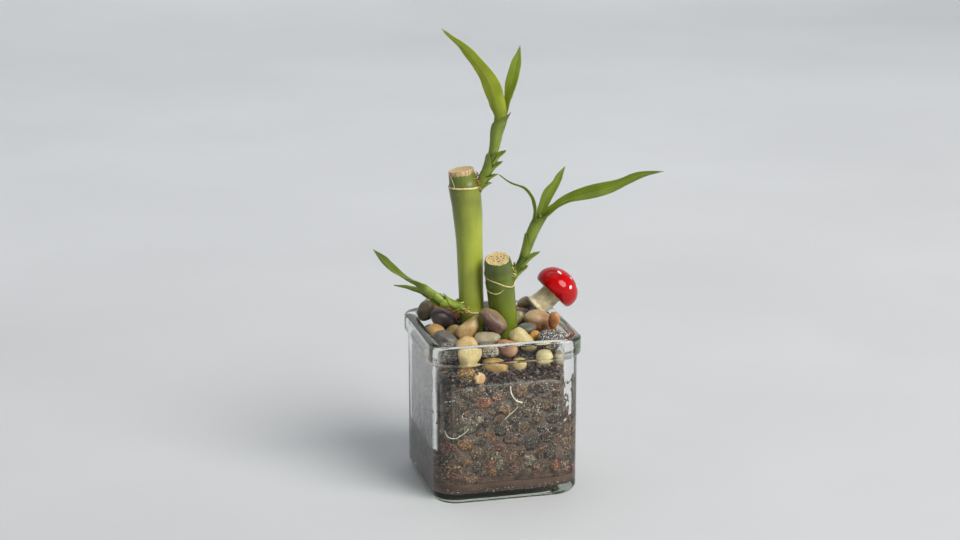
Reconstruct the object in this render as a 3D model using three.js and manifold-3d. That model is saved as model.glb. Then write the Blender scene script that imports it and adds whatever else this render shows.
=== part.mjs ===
// Lucky bamboo in a square pressed-glass jar.
//
// Two cut stalks with three leafy shoots stand in a jar filled with silt, a bed of rough granules and a
// heap of river pebbles. A small toadstool ornament is stuck into the fill on a wire.
//
// Millimetres, +Z up. The origin is the middle of the jar's flat base. The jar's faces are square to X and
// Y, with the front face towards -Y. The sizes come from a jar 80 mm across its rim.

import * as THREE from 'three';
import { mergeVertices } from 'three/addons/utils/BufferGeometryUtils.js';
import Module from 'manifold-3d';

const wasm = await Module();
wasm.setup();

// ---------------------------------------------------------------- driving dimensions

const GAP = 0.3; // clearance between pieces that touch on the real thing

const JAR = {
  height: 85,
  rimHalf: 40, // half the width across the rim band
  bodyHalf: 38, // half the width across the body
  innerHalf: 34, // half the width of the inside
  rimHeight: 10,
  base: 4.6, // thickness of the glass bottom
  corner: 10.4, // radius of the body's upright corners, outside
  least: 4, // smallest corner radius of any section
  footRound: 5, // radius under the body
};

const FILL = {
  siltTop: 14,
  bedWall: 70, // height of the bed against the glass
  bedMound: 78.5, // height of the bed round the stalks
  moundSlope: 0.14, // rise of the heap from the front to the back, mm per mm
  siltHalf: 33.6,
  lump: 8.8, // distance between the lumps along the glass
  hollow: 4, // how far the hollows between the lumps go in
  relief: 1.5, // roughness of the top
};

const STALK = {
  sides: 18,
  ring: 0.4, // how far a leaf scar stands out
  ringWidth: 1.1,
  dish: 0.4, // how far the cut top is sunk inside its bark
};

const LEAF = {
  thick: 0.7, // blade
  across: 6, // facets across the blade
  crowd: 1.15, // over 1, the cross facets crowd towards the foot
};

const SHOOT_RADIUS = 2.2;
const SHOOT_TIP = 0.7; // how far a shoot tapers

const TOADSTOOL = {
  capRadius: 12.1,
  capHeight: 13.7,
  lip: 4.2, // height of the widest place above the cap's underside
  stemTop: 5.7, // radius under the cap
  stemFoot: 6.9, // radius where it stands
  wire: 0.8, // radius of the pick
};

// ---------------------------------------------------------------- general helpers

const vec = (x, y, z) => new THREE.Vector3(x, y, z);

/** A smooth curve through points written as [x, y, z] in millimetres. */
function curveThrough(points) {
  return new THREE.CatmullRomCurve3(points.map((p) => vec(...p)), false, 'centripetal');
}

/** A number between 0 and 1 that depends only on its seed. */
function random(seed) {
  const wave = Math.sin(seed * 127.1 + 311.7) * 43758.5453;
  return wave - Math.floor(wave);
}

/** Smooth noise between 0 and 1 with a spacing of one unit. */
function noise(x, y, z) {
  const cell = [Math.floor(x), Math.floor(y), Math.floor(z)];
  const part = [x - cell[0], y - cell[1], z - cell[2]].map((t) => t * t * (3 - 2 * t));
  let sum = 0;
  for (let corner = 0; corner < 8; corner++) {
    const step = [corner & 1, (corner >> 1) & 1, (corner >> 2) & 1];
    const weight = step.reduce((w, s, axis) => w * (s ? part[axis] : 1 - part[axis]), 1);
    sum += weight * random(cell[0] + step[0] + 57 * (cell[1] + step[1]) + 113 * (cell[2] + step[2]));
  }
  return sum;
}

/** Moves every vertex of a geometry to where `place(x, y, z)` says. */
function deform(geometry, place) {
  const position = geometry.attributes.position;
  for (let i = 0; i < position.count; i++) {
    const moved = place(position.getX(i), position.getY(i), position.getZ(i), i);
    position.setXYZ(i, moved.x, moved.y, moved.z);
  }
  return geometry;
}

/** A closed geometry with shared vertices, no collapsed faces, and its faces pointing out. */
function closed(geometry) {
  const bare = geometry.clone();
  bare.deleteAttribute('normal');
  bare.deleteAttribute('uv');
  const merged = mergeVertices(bare, 1e-4);
  const index = Array.from(merged.index.array);
  const position = merged.attributes.position;
  const faces = [];
  let volume = 0;
  for (let i = 0; i < index.length; i += 3) {
    const [a, b, c] = index.slice(i, i + 3);
    if (a === b || b === c || c === a) continue;
    faces.push([a, b, c]);
    const corners = [a, b, c].map((k) => vec(position.getX(k), position.getY(k), position.getZ(k)));
    volume += corners[0].dot(corners[1].cross(corners[2]));
  }
  const turned = volume < 0 ? faces.map(([a, b, c]) => [a, c, b]) : faces;
  merged.setIndex(turned.flat());
  return merged;
}

/** The geometry as a solid that can be joined and cut. */
function solid(geometry) {
  const clean = closed(geometry);
  return new wasm.Manifold(
    new wasm.Mesh({
      numProp: 3,
      vertProperties: new Float32Array(clean.attributes.position.array),
      triVerts: new Uint32Array(clean.index.array),
    }),
  );
}

/** The largest piece of a solid as a geometry, so that a loose scrap is dropped. */
function geometryOf(shape) {
  const pieces = shape.decompose();
  pieces.sort((a, b) => b.volume() - a.volume());
  const mesh = pieces[0].getMesh();
  const geometry = new THREE.BufferGeometry();
  geometry.setAttribute('position', new THREE.BufferAttribute(mesh.vertProperties, 3));
  geometry.setIndex(new THREE.BufferAttribute(mesh.triVerts, 1));
  return geometry;
}

/** A solid turned about Z from a profile of [radius, height] points that starts and ends on the axis. */
function turned(profile, sides) {
  const points = profile.map(([radius, height]) => new THREE.Vector2(radius, height));
  return new THREE.LatheGeometry(points, sides).rotateX(Math.PI / 2);
}

/** Carries a geometry that stands along +Z onto a curve. `side` says which way its +X turns. */
function bendAlong(geometry, curve, side = vec(0, 1, 0)) {
  const length = curve.getLength();
  return deform(geometry, (x, y, z) => {
    const at = THREE.MathUtils.clamp(z / length, 0, 1);
    const along = curve.getTangentAt(at);
    const across = side.clone().addScaledVector(along, -side.dot(along)).normalize();
    const third = along.clone().cross(across);
    const point = curve.getPointAt(at).addScaledVector(along, z - at * length);
    return point.addScaledVector(across, x).addScaledVector(third, y);
  });
}

// ---------------------------------------------------------------- the group and its materials

const plant = new THREE.Group();

const finishes = {
  glass: { color: 0xdfe8e6, roughness: 0.05, metalness: 0, transparent: true, opacity: 0.35 },
  silt: { color: 0x4a3226, roughness: 0.95, metalness: 0 },
  granules: { color: 0x4b2f25, roughness: 0.9, metalness: 0 },
  stalk: { color: 0x7fa02c, roughness: 0.4, metalness: 0 },
  darkStalk: { color: 0x4f7f2a, roughness: 0.4, metalness: 0 },
  shoot: { color: 0x86b83a, roughness: 0.45, metalness: 0 },
  leaf: { color: 0x6fa02f, roughness: 0.45, metalness: 0 },
  lacquer: { color: 0xb3141c, roughness: 0.15, metalness: 0 },
  foam: { color: 0xe9e0c8, roughness: 0.9, metalness: 0 },
  wire: { color: 0x9a9a98, roughness: 0.35, metalness: 1 },
};

/** Adds a named mesh with a material of its own. */
function add(name, geometry, finish) {
  const mesh = new THREE.Mesh(geometry, new THREE.MeshStandardMaterial(finish));
  mesh.name = name;
  plant.add(mesh);
}

// ---------------------------------------------------------------- jar

const SMOOTH = { flat: 3, corner: 5 }; // facets along each flat side and in each upright corner
const LUMPY = { flat: 10, corner: 2 }; // the same for the bed, two to each lump

/** The point at a step round a square of a given half width with rounded corners. */
function squarePoint(half, radius, facets, step) {
  const quarter = Math.floor(step / (facets.corner + facets.flat)) % 4;
  const part = step % (facets.corner + facets.flat);
  const flat = half - radius;
  let x = half;
  let y = -flat + (2 * flat * part) / facets.flat;
  if (part > facets.flat) {
    const angle = ((part - facets.flat) / facets.corner) * (Math.PI / 2);
    x = flat + radius * Math.cos(angle);
    y = flat + radius * Math.sin(angle);
  }
  return new THREE.Vector2(x, y).rotateAround(new THREE.Vector2(0, 0), (quarter * Math.PI) / 2);
}

/** A solid of rounded square sections. Its profile holds [half width, height] points. */
function squareTurned(profile, facets = SMOOTH) {
  const around = 4 * (facets.corner + facets.flat);
  const geometry = turned(profile, around);
  return deform(geometry, (x, y, z, index) => {
    const [half, height] = profile[index % profile.length];
    const step = Math.floor(index / profile.length) % around;
    const point = squarePoint(half, cornerOf(half), facets, step);
    return vec(point.x, point.y, height);
  });
}

/** Corner radius of a section: it shrinks with the section, as offset outlines do. */
function cornerOf(half) {
  return Math.min(half, Math.max(JAR.corner - (JAR.bodyHalf - half), JAR.least));
}

/** Points on an arc of a profile, between two angles in degrees. */
function quarterRound(centreHalf, centreHeight, radius, fromAngle, toAngle, steps) {
  const points = [];
  for (let i = 0; i <= steps; i++) {
    const angle = THREE.MathUtils.degToRad(fromAngle + ((toAngle - fromAngle) * i) / steps);
    points.push([centreHalf + radius * Math.cos(angle), centreHeight + radius * Math.sin(angle)]);
  }
  return points;
}

/** The glass: outside from the base up, over the rim, and down the inside to the floor. */
function makeJar() {
  const { height, rimHalf, bodyHalf, innerHalf, rimHeight, base, footRound } = JAR;
  const crest = 1; // rounding of the rim's outer edge
  const lip = 0.6; // rounding of its inner edge
  const shoulder = height - rimHeight;
  const profile = [
    [0, 0],
    ...quarterRound(bodyHalf - footRound, footRound, footRound, -90, 0, 4),
    [bodyHalf, shoulder],
    ...quarterRound(rimHalf - 1.6, shoulder + 2, 1.6, -60, 0, 2),
    ...quarterRound(rimHalf - crest, height - crest, crest, 0, 90, 2),
    ...quarterRound(innerHalf + lip, height - lip, lip, 90, 180, 2),
    [innerHalf, shoulder],
    ...quarterRound(innerHalf - 4, base + 4, 4, 0, -90, 3),
    [0, base],
  ];
  add('jar', closed(squareTurned(profile)), finishes.glass);
}

// ---------------------------------------------------------------- stalks

/** Profile of a cut stalk: [height along the axis, radius] stations with a dished top. */
function stalkProfile(length, radiusAt, rings) {
  const { ring, ringWidth, dish } = STALK;
  const top = radiusAt(length);
  const stations = [0];
  for (let s = 14; s < length - 3; s += 18) {
    if (rings.every((r) => Math.abs(s - r) > 6)) stations.push(s);
  }
  const bands = rings.flatMap((r) => [
    [radiusAt(r), r - ringWidth],
    [radiusAt(r) + ring, r - ringWidth / 2],
    [radiusAt(r) + ring, r + ringWidth / 2],
    [radiusAt(r), r + ringWidth],
  ]);
  const wall = [...stations.map((s) => [radiusAt(s), s]), ...bands].sort((a, b) => a[1] - b[1]);
  return [
    [0, 0],
    ...wall,
    [top, length - 0.5],
    [top - 0.4, length],
    [top - 1.1, length],
    [top - 1.6, length - dish],
    [0, length - dish],
  ];
}

const tallStalk = {
  axis: curveThrough([
    [-7, 6.8, 42],
    [-8.4, 7.2, 86],
    [-9.1, 7.4, 105],
    [-9.6, 7.6, 124],
    [-11.2, 7.9, 149],
    [-14, 8.5, 165.8],
  ]),
  rings: [48.4, 115.5], // leaf scars, measured along the axis from the foot
  radius: [
    [0, 6.2],
    [50, 6.4],
    [82, 6.8],
    [104, 7.7],
    [112, 8],
    [125, 6.6],
  ],
};

const shortStalk = {
  axis: curveThrough([
    [10.7, 2.3, 44.1],
    [8.3, 1.2, 70.1],
    [6.3, -0.1, 90.1],
    [3.9, -3, 108.1],
    [1.4, -7.2, 121.5],
  ]),
  rings: [64.5, 70.5],
  radius: [
    [0, 6.4],
    [46, 7.1],
    [68, 7.4],
    [74, 7.3],
    [80, 6.5],
  ],
};

/** Reads a radius from [height, radius] stations, with smooth steps between them. */
function radiusFrom(stations) {
  return (s) => {
    const next = stations.findIndex(([height]) => height >= s);
    if (next === 0) return stations[0][1];
    if (next < 0) return stations.at(-1)[1];
    const [low, high] = [stations[next - 1], stations[next]];
    const t = (s - low[0]) / (high[0] - low[0]);
    return low[1] + (high[1] - low[1]) * t * t * (3 - 2 * t);
  };
}

/** A stalk as one solid, with its leaf scars and the root nubs that ring its lower node. */
function stalkSolid(stalk, nubs) {
  const length = stalk.axis.getLength();
  const radiusAt = radiusFrom(stalk.radius);
  const body = turned(stalkProfile(length, radiusAt, stalk.rings), STALK.sides);
  let shape = solid(bendAlong(body, stalk.axis));
  for (const { height, angle, size } of nubs) {
    const nub = new THREE.SphereGeometry(1, 6, 4).scale(size, size, size * 0.8);
    const turn = THREE.MathUtils.degToRad(angle);
    const reach = radiusAt(height) + 0.2 * size;
    nub.translate(reach * Math.cos(turn), reach * Math.sin(turn), height);
    shape = shape.add(solid(bendAlong(nub, stalk.axis)));
  }
  return shape;
}

// ---------------------------------------------------------------- shoots and leaves

/**
 * A blade that clasps a stem at its base and opens to a channelled leaf.
 *
 * The spine runs up the back of the leaf. Across it the blade is an arc: tight round the stem in the
 * sheath, nearly flat in the blade. `stations` holds [part of the length, half width, bend radius]. The
 * upper side looks away from `back` as far as the sheath goes, and turns to `facing` at the tip.
 */
function leafGeometry({ spine, back, facing, sheath, stations, steps = 11, across: facets = LEAF.across }) {
  const read = (at, column) => {
    const next = Math.max(1, stations.findIndex(([part]) => part >= at));
    const [low, high] = [stations[next - 1], stations[next]];
    const t = (at - low[0]) / (high[0] - low[0]);
    return low[column] + (high[column] - low[column]) * t * t * (3 - 2 * t);
  };
  const geometry = new THREE.BoxGeometry(1, 1, 1, facets, 1, steps);
  return deform(geometry, (x, y, z) => {
    const at = THREE.MathUtils.clamp(z + 0.5, 0, 1) ** LEAF.crowd;
    const along = spine.getTangentAt(at);
    const up = vec(...back).negate().lerp(vec(...facing), THREE.MathUtils.smoothstep(at, sheath, 1));
    const inward = up.addScaledVector(along, -up.dot(along)).normalize();
    const across = inward.clone().cross(along);
    const bend = read(at, 2);
    const angle = (2 * x * read(at, 1)) / bend;
    const radius = bend - y * LEAF.thick;
    return spine
      .getPointAt(at)
      .addScaledVector(inward, bend - radius * Math.cos(angle))
      .addScaledVector(across, radius * Math.sin(angle));
  });
}

/** The spine of a leaf: it follows the back of the stem from one height to another, then goes free. */
function claspedSpine(shoot, { from, to, back, free, reach }) {
  const points = [0, 0.5, 1].map((part) => {
    const at = from + (to - from) * part;
    const along = shoot.axis.getTangentAt(at);
    const out = vec(...back);
    out.addScaledVector(along, -out.dot(along)).normalize();
    return shoot.axis.getPointAt(at).addScaledVector(out, reach[0] + (reach[1] - reach[0]) * part);
  });
  return curveThrough([...points, ...free.map((p) => vec(...p))].map((p) => p.toArray()));
}

/** A short pointed scale leaf grown on a shoot, sunk a little into it. */
function scaleSolid(shoot, { at, back, length, lift }) {
  const along = shoot.axis.getTangentAt(at);
  const out = vec(...back);
  out.addScaledVector(along, -out.dot(along)).normalize();
  const foot = shoot.axis.getPointAt(at);
  const reach = (up, away) => foot.clone().addScaledVector(along, up).addScaledVector(out, away).toArray();
  const spine = curveThrough([
    reach(0, shoot.radius),
    reach(length * 0.5, shoot.radius + 0.3 + 0.2 * lift),
    reach(length, shoot.radius + lift),
  ]);
  const wrap = shoot.radius * 1.9;
  const stations = [
    [0, wrap, shoot.radius],
    [0.45, wrap * 0.9, shoot.radius + 0.3],
    [1, 0.4, shoot.radius * 2],
  ];
  const leaf = { spine, back: out.toArray(), facing: out.clone().negate().toArray(), sheath: 0, stations };
  return solid(leafGeometry({ ...leaf, steps: 3, across: 4 }));
}

/** A leafy stem as one solid: a tapered stem with its short scale leaves grown on it. */
function shootSolid(shoot) {
  const length = shoot.axis.getLength();
  const { radius } = shoot;
  const profile = [
    [0, 0],
    [radius * 0.8, 0],
    [radius * 1.1, 1.2],
    [radius, 3.5],
    [radius, length * 0.55],
    [radius * SHOOT_TIP, length - 0.8],
    [radius * SHOOT_TIP * 0.6, length],
    [0, length],
  ];
  let shape = solid(bendAlong(turned(profile, 10), shoot.axis));
  for (const scale of shoot.scales) shape = shape.add(scaleSolid(shoot, scale));
  return shape;
}

/** Half widths and bend radii of a leaf: sheath, neck, widest place and tip. */
function leafStations(leaf, sheath) {
  const { half, wrap = 1.9, foot = wrap, neck = 0.85, widest = 0.5, taper = 0.78, channel = 1.7 } = leaf;
  const [low, high] = leaf.clasp.reach;
  return [
    [0, foot * low, low],
    [sheath, wrap * high * 0.95, high],
    [sheath + 0.13, half * neck, Math.max(high * 1.5, half)],
    [Math.max(widest, sheath + 0.2), half, half * channel],
    [(widest + 1) / 2, half * taper, half * channel],
    [1, 0.45, half * channel],
  ];
}

const shoots = {
  top: {
    radius: SHOOT_RADIUS,
    axis: curveThrough([
      [-7, 6.4, 153],
      [-2.4, 4, 163],
      [1.6, 1.9, 175.5],
      [3.4, 1.8, 184.2],
      [5, 1.9, 192],
      [6.6, 2, 197.5],
    ]),
    scales: [
      { at: 0.06, back: [1, -0.5, 0], length: 7, lift: 2.5 },
      { at: 0.1, back: [-1, -0.6, 0], length: 10, lift: 1 },
      { at: 0.14, back: [1, -0.3, 0], length: 8.5, lift: 3 },
      { at: 0.24, back: [-1, -0.5, 0], length: 13, lift: 1.9 },
      { at: 0.26, back: [1, 0, 0], length: 9, lift: 3.2 },
      { at: 0.38, back: [1, 0.1, 0], length: 9, lift: 3.4 },
    ],
  },
  side: {
    radius: SHOOT_RADIUS,
    axis: curveThrough([
      [6.3, -3.8, 104.1],
      [15, -5, 118.5],
      [19.4, -5.9, 130.9],
      [22.3, -6.5, 138.2],
      [24.3, -6.7, 142.6],
    ]),
    scales: [
      { at: 0.14, back: [-1, -0.2, 0.3], length: 9, lift: 1.6 },
      { at: 0.2, back: [1, 0.2, 0], length: 8, lift: 2 },
      { at: 0.32, back: [1, 0.1, 0], length: 12, lift: 3.8 },
      { at: 0.46, back: [-1, -0.2, 0.3], length: 12.5, lift: 1.8 },
    ],
  },
  base: {
    radius: SHOOT_RADIUS,
    axis: curveThrough([
      [-10, 6, 92.4],
      [-20.6, 4.7, 95.6],
      [-26.1, 5, 98.7],
      [-30.7, 5.7, 102.3],
      [-34.6, 6.6, 105.6],
    ]),
    scales: [
      { at: 0.06, back: [0, -0.5, -1], length: 8, lift: 1.6 },
      { at: 0.3, back: [0, -0.2, 1], length: 8.5, lift: 2.4 },
      { at: 0.4, back: [0, -1, -0.3], length: 6.5, lift: 1 },
    ],
  },
};

/**
 * Leaves that clasp their shoot. `clasp` says between which parts of the shoot the sheath runs, on which
 * side its back is, how far that back stands from the shoot's axis at its foot and its head, and where the
 * blade goes from there. `facing` is the way the upper side looks at the tip.
 */
const leaves = [
  {
    name: 'top_leaf_big',
    clasp: {
      shoot: shoots.top,
      from: 0.6,
      to: 0.86,
      back: [-0.5, -0.87, 0],
      reach: [3, 3.9],
      free: [
        [1.9, 0, 203],
        [-0.6, 0.2, 211],
        [-4.4, -0.6, 217.4],
        [-9.2, -1.8, 223.8],
        [-15, -3.2, 230.2],
        [-26.8, -5.2, 240.8],
      ],
    },
    facing: [0.2, 0.8, 0.7],
    wrap: 1.65,
    half: 4.6,
    neck: 0.95,
    widest: 0.38,
    taper: 0.66,
    channel: 2,
  },
  {
    name: 'top_leaf_upright',
    clasp: {
      shoot: shoots.top,
      from: 0.8,
      to: 0.97,
      back: [1, 0.2, 0],
      reach: [2.8, 2.7],
      free: [
        [10.6, 2.6, 206],
        [12, 3, 213],
        [13.8, 3.9, 220],
        [15.4, 4.9, 225],
        [16.6, 6.1, 229],
      ],
    },
    facing: [0, -1.2, 0.2],
    wrap: 0.8,
    half: 3.6,
  },
  {
    name: 'top_leaf_small',
    clasp: {
      shoot: shoots.top,
      from: 0.68,
      to: 0.88,
      back: [0.5, 0.87, 0],
      reach: [3.4, 4.2],
      free: [
        [9.6, 6.6, 199],
        [12.2, 7.9, 203],
        [14.5, 9.2, 207.4],
      ],
    },
    facing: [-0.6, -0.8, 0.3],
    half: 1.7,
    wrap: 0.85,
    steps: 8,
  },
  {
    name: 'side_leaf_curled',
    clasp: {
      shoot: shoots.side,
      from: 0.79,
      to: 0.88,
      back: [-1, -0.2, 0.4],
      reach: [3, 3.1],
      free: [
        [20.7, -8, 145.1],
        [20.2, -8.2, 149.1],
        [18.5, -8.6, 153.7],
        [14.7, -8.6, 158.2],
        [8.2, -8.2, 161.1],
        [2.3, -7.8, 165.6],
      ],
    },
    facing: [0.4, 0.1, 1],
    wrap: 1.4,
    half: 2.1,
  },
  {
    name: 'side_leaf_long',
    clasp: {
      shoot: shoots.side,
      from: 0.6,
      to: 0.97,
      back: [1, 0, -0.3],
      reach: [3.15, 2.95],
      free: [
        [30, -8.5, 145],
        [33.3, -9.7, 148.3],
        [38.1, -11.7, 151.5],
        [45.2, -14.5, 154.3],
        [52.7, -17.6, 156.6],
        [60.3, -20.6, 159.6],
        [71.5, -25.2, 165.4],
        [82.3, -30, 167.9],
      ],
    },
    facing: [-0.2, -1, 0.8],
    foot: 0.55,
    half: 4.3,
    neck: 0.95,
    widest: 0.56,
    taper: 0.56,
    steps: 14,
  },
  {
    name: 'base_leaf_main',
    clasp: {
      shoot: shoots.base,
      from: 0.74,
      to: 0.95,
      back: [0, -0.3, -1],
      reach: [2.9, 2.8],
      free: [
        [-38.6, 5.8, 106.4],
        [-42.9, 6.2, 109.2],
        [-49.2, 6.6, 114],
        [-53.9, 6.6, 118.8],
        [-57.6, 6.3, 123.3],
        [-60.7, 6, 126.9],
      ],
    },
    facing: [0.4, -0.8, 0.8],
    half: 4.3,
    neck: 0.95,
  },
  {
    name: 'base_leaf_lower',
    clasp: {
      shoot: shoots.base,
      from: 0.42,
      to: 0.62,
      back: [0, 0.8, -0.6],
      reach: [3.4, 4.1],
      free: [
        [-36.4, 11.4, 102],
        [-42, 13.8, 103.4],
        [-48.1, 16.2, 104.4],
      ],
    },
    facing: [0, -0.3, 1],
    half: 1.8,
    wrap: 1.1,
    steps: 8,
  },
];

/** The youngest leaf of the side shoot, which stands on the shoot's tip. */
const innerLeaf = {
  name: 'side_leaf_upright',
  spine: curveThrough([
    [24.7, -6.7, 143.3],
    [26.1, -6.2, 148.1],
    [28.9, -5.5, 154],
    [32.7, -5.1, 158.7],
    [35.5, -4.3, 163.3],
    [38.3, -3.4, 167.2],
  ]),
  back: [0.2, 1, -0.2],
  facing: [-0.2, -1, 0.2],
  sheath: 0,
  stations: [
    [0, 1.2, 1.7],
    [0.2, 2.4, 3.4],
    [0.45, 3, 5],
    [0.75, 1.9, 4.6],
    [1, 0.4, 3],
  ],
  steps: 9,
};

/** The stalks and the shoots, each shoot cut clear of the stalk that it grows on. */
function makePlant() {
  const tall = stalkSolid(tallStalk, rootNubs(46.2, [60, 82, 105, 128], 1.6));
  const short = stalkSolid(shortStalk, []);
  const grownOn = { top: tallStalk, side: shortStalk, base: tallStalk };
  const stems = {};
  for (const [name, shoot] of Object.entries(shoots)) {
    const { axis, radius, rings } = grownOn[name];
    const wide = (s) => radiusFrom(radius)(s) + (rings.some((r) => Math.abs(s - r) < 4) ? STALK.ring : 0);
    stems[name] = shootSolid(shoot).subtract(holeAround(axis, wide, 24));
  }
  return { tall, short, stems };
}

/** Root nubs round a node of a stalk, at the angles given. */
function rootNubs(height, angles, size) {
  return angles.map((angle, i) => ({ height: height - 1.5 * (i % 2), angle, size: size * (1 - 0.12 * i) }));
}

// ---------------------------------------------------------------- toadstool ornament

const toadstool = {
  base: vec(36.4, 13.1, 95.1), // middle of the cap's flat underside
  axis: vec(0.716, 0.018, 0.698).normalize(),
  foot: vec(27.3, 13.3, 87.5),
};

/** Turns and moves a geometry that stands on +Z so that it stands at `at`, along `axis`. */
function standAlong(geometry, at, axis) {
  const turn = new THREE.Quaternion().setFromUnitVectors(vec(0, 0, 1), axis);
  return geometry.applyQuaternion(turn).translate(at.x, at.y, at.z);
}

/** The cap: a dome with a rolled lip and a round hollow under it that takes the head of the stem. */
function capGeometry() {
  const { capRadius, capHeight, lip, stemTop } = TOADSTOOL;
  const profile = [
    [0, 2.4],
    [stemTop + 0.4, 2.4],
    [stemTop + 1, 0.9],
    [capRadius - 2, 0],
    [capRadius - 1.1, 0.5],
    [capRadius - 0.3, 2],
  ];
  for (let i = 0; i <= 7; i++) {
    const angle = (i / 7) * (Math.PI / 2);
    profile.push([capRadius * Math.cos(angle), lip + (capHeight - lip) * Math.sin(angle)]);
  }
  profile[profile.length - 1][0] = 0;
  return standAlong(turned(profile, 20), toadstool.base, toadstool.axis);
}

/** The foam stem, which stands on the heap and ends inside the cap's hollow. */
function stemGeometry() {
  const { stemTop, stemFoot } = TOADSTOOL;
  const top = toadstool.base.clone().addScaledVector(toadstool.axis, 1.9);
  const under = toadstool.base.clone().addScaledVector(toadstool.axis, -2);
  const curve = new THREE.CatmullRomCurve3([toadstool.foot, toadstool.foot.clone().lerp(under, 0.5), under, top]);
  const length = curve.getLength();
  const profile = [
    [0, 0],
    [stemFoot - 0.8, 0],
    [stemFoot, 0.9],
    [stemFoot * 0.84, 3],
    [stemTop, length * 0.55],
    [stemTop, length],
    [0, length],
  ];
  return bendAlong(turned(profile, 16), curve);
}

/** The pick under the stem, or with `room` the plain hole that it stands in. */
function wireGeometry(room = 0) {
  const { foot, axis } = toadstool;
  const start = foot.clone().addScaledVector(axis, -1.5 * GAP);
  const path = new THREE.CatmullRomCurve3([
    start,
    start.clone().addScaledVector(axis, -3),
    vec(24.6, 13, 78),
    vec(23.6, 13, 68),
    vec(23.2, 13, 56 - room),
  ]);
  const section = new THREE.Shape().absarc(0, 0, TOADSTOOL.wire + room, 0, 2 * Math.PI);
  return new THREE.ExtrudeGeometry(section, { extrudePath: path, steps: 10, curveSegments: 4 });
}

// ---------------------------------------------------------------- pebbles

const STONE = {
  olive: 0x55503c,
  cream: 0xe3d6ae,
  tan: 0xc09a66,
  rust: 0xb06a34,
  plum: 0x3a2f38,
  grey: 0x56534f,
  speckled: 0x8b8478,
  ochre: 0xc9ab72,
  mauve: 0x8a6a5a,
  beige: 0xa99b83,
  pink: 0xc09682,
};

/**
 * The pebbles of the upper layer. `at` is the middle, `size` is length, depth and height, `lean` tilts the
 * long way up to the right as seen from the front and `turn` swings it about the vertical, in degrees.
 */
const upperPebbles = [
  { name: 'olive', at: [-29.8, 23.6, 87], size: [11, 8, 7.6], lean: 76, turn: 0, color: STONE.olive },
  { name: 'cream_back', at: [-24, 29.6, 89.6], size: [8, 6.6, 5], lean: 0, turn: 10, color: STONE.cream },
  { name: 'orange_tan', at: [-18.6, 25.6, 84], size: [16.4, 9.5, 8.6], lean: -20, turn: 0, color: STONE.rust },
  {
    name: 'plum', at: [-25, 8.5, 83.4], size: [13, 9.8, 8.2], lean: -24, turn: 10, blocky: 3.4,
    color: STONE.plum,
  },
  { name: 'tan_left', at: [-29.4, 7, 81.4], size: [9, 11, 8.4], lean: -35, turn: 20, color: STONE.tan },
  { name: 'tan_brown', at: [-19.4, 1.6, 81.6], size: [9.6, 9, 8.4], lean: 50, turn: 0, color: STONE.tan },
  {
    name: 'grey_left', at: [-26.8, -9.4, 81.2], size: [12.4, 9.4, 7.6], lean: -8, turn: 0, blocky: 2.9,
    color: STONE.grey,
  },
  {
    name: 'speckled_left', at: [-27, -21.4, 78.2], size: [9.4, 9, 8.6], lean: 0, turn: 0,
    color: STONE.speckled,
  },
  {
    name: 'ochre_drop', at: [-14, -4.6, 83], size: [15.8, 8, 8.2], lean: 48, turn: 12, egg: -0.42,
    color: STONE.ochre,
  },
  {
    name: 'cream_front', at: [-18.8, -27, 77.6], size: [14.4, 9, 11.6], lean: -78, turn: 0, egg: 0.16,
    color: STONE.cream,
  },
  { name: 'mauve_long', at: [-0.8, -10.6, 87.8], size: [16.4, 9.4, 8], lean: -40, turn: -20, color: STONE.mauve },
  { name: 'beige_oval', at: [-4.6, -13.8, 83], size: [14.4, 10.4, 7], lean: 5, turn: 0, color: STONE.beige },
  {
    name: 'speckled_mid', at: [-8.6, -22.6, 80.2], size: [11.4, 8.6, 6.6], lean: -6, turn: 0, blocky: 2.9,
    color: STONE.speckled,
  },
  { name: 'pink_front', at: [1.2, -21.6, 80.2], size: [10.6, 8.4, 6.6], lean: -14, turn: 0, color: STONE.pink },
  {
    name: 'yellow_long', at: [11.6, -20.6, 81.6], size: [15.2, 8.8, 8.4], lean: -42, turn: 0, egg: -0.16,
    color: STONE.ochre,
  },
  { name: 'grey_streak', at: [18.4, -6.4, 84], size: [11, 9, 5.8], lean: 14, turn: 0, color: STONE.grey },
  { name: 'tan_pink', at: [26, -2.4, 83.4], size: [16, 12, 10.4], lean: -28, turn: 0, color: STONE.pink },
  { name: 'orange_small', at: [18.2, -14.6, 82], size: [6, 5.6, 5], lean: 20, turn: 0, color: STONE.rust },
  {
    name: 'granite', at: [26.2, -25.2, 82.8], size: [15, 10, 8.2], lean: 8, turn: 8, blocky: 2.9,
    color: STONE.speckled,
  },
  { name: 'orange_upright', at: [30.8, -11.4, 88.4], size: [8.6, 5, 5], lean: 82, turn: 0, color: STONE.rust },
  { name: 'mauve_back', at: [21.8, 18.4, 87.4], size: [9, 8, 6.6], lean: -16, turn: 0, color: STONE.mauve },
  { name: 'orange_back', at: [18.6, 27.6, 87.4], size: [7.4, 6, 5.6], lean: 60, turn: 0, color: STONE.rust },
  { name: 'olive_back', at: [26.6, 28, 87], size: [8.6, 7, 6], lean: 10, turn: 30, color: STONE.olive },
  { name: 'green_cream', at: [17.2, 9.6, 84.4], size: [7, 7, 6.6], lean: 40, turn: 0, color: STONE.beige },
  { name: 'plum_right', at: [31, 20.4, 84.4], size: [8, 8, 7.4], lean: 30, turn: 0, color: STONE.plum },
  { name: 'grey_back', at: [3.6, 25.4, 86.4], size: [14, 11, 8], lean: 8, turn: 15, color: STONE.grey },
  { name: 'tan_back', at: [-8.4, 28.4, 86.6], size: [10, 8.6, 7], lean: -10, turn: 0, color: STONE.tan },
];

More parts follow.
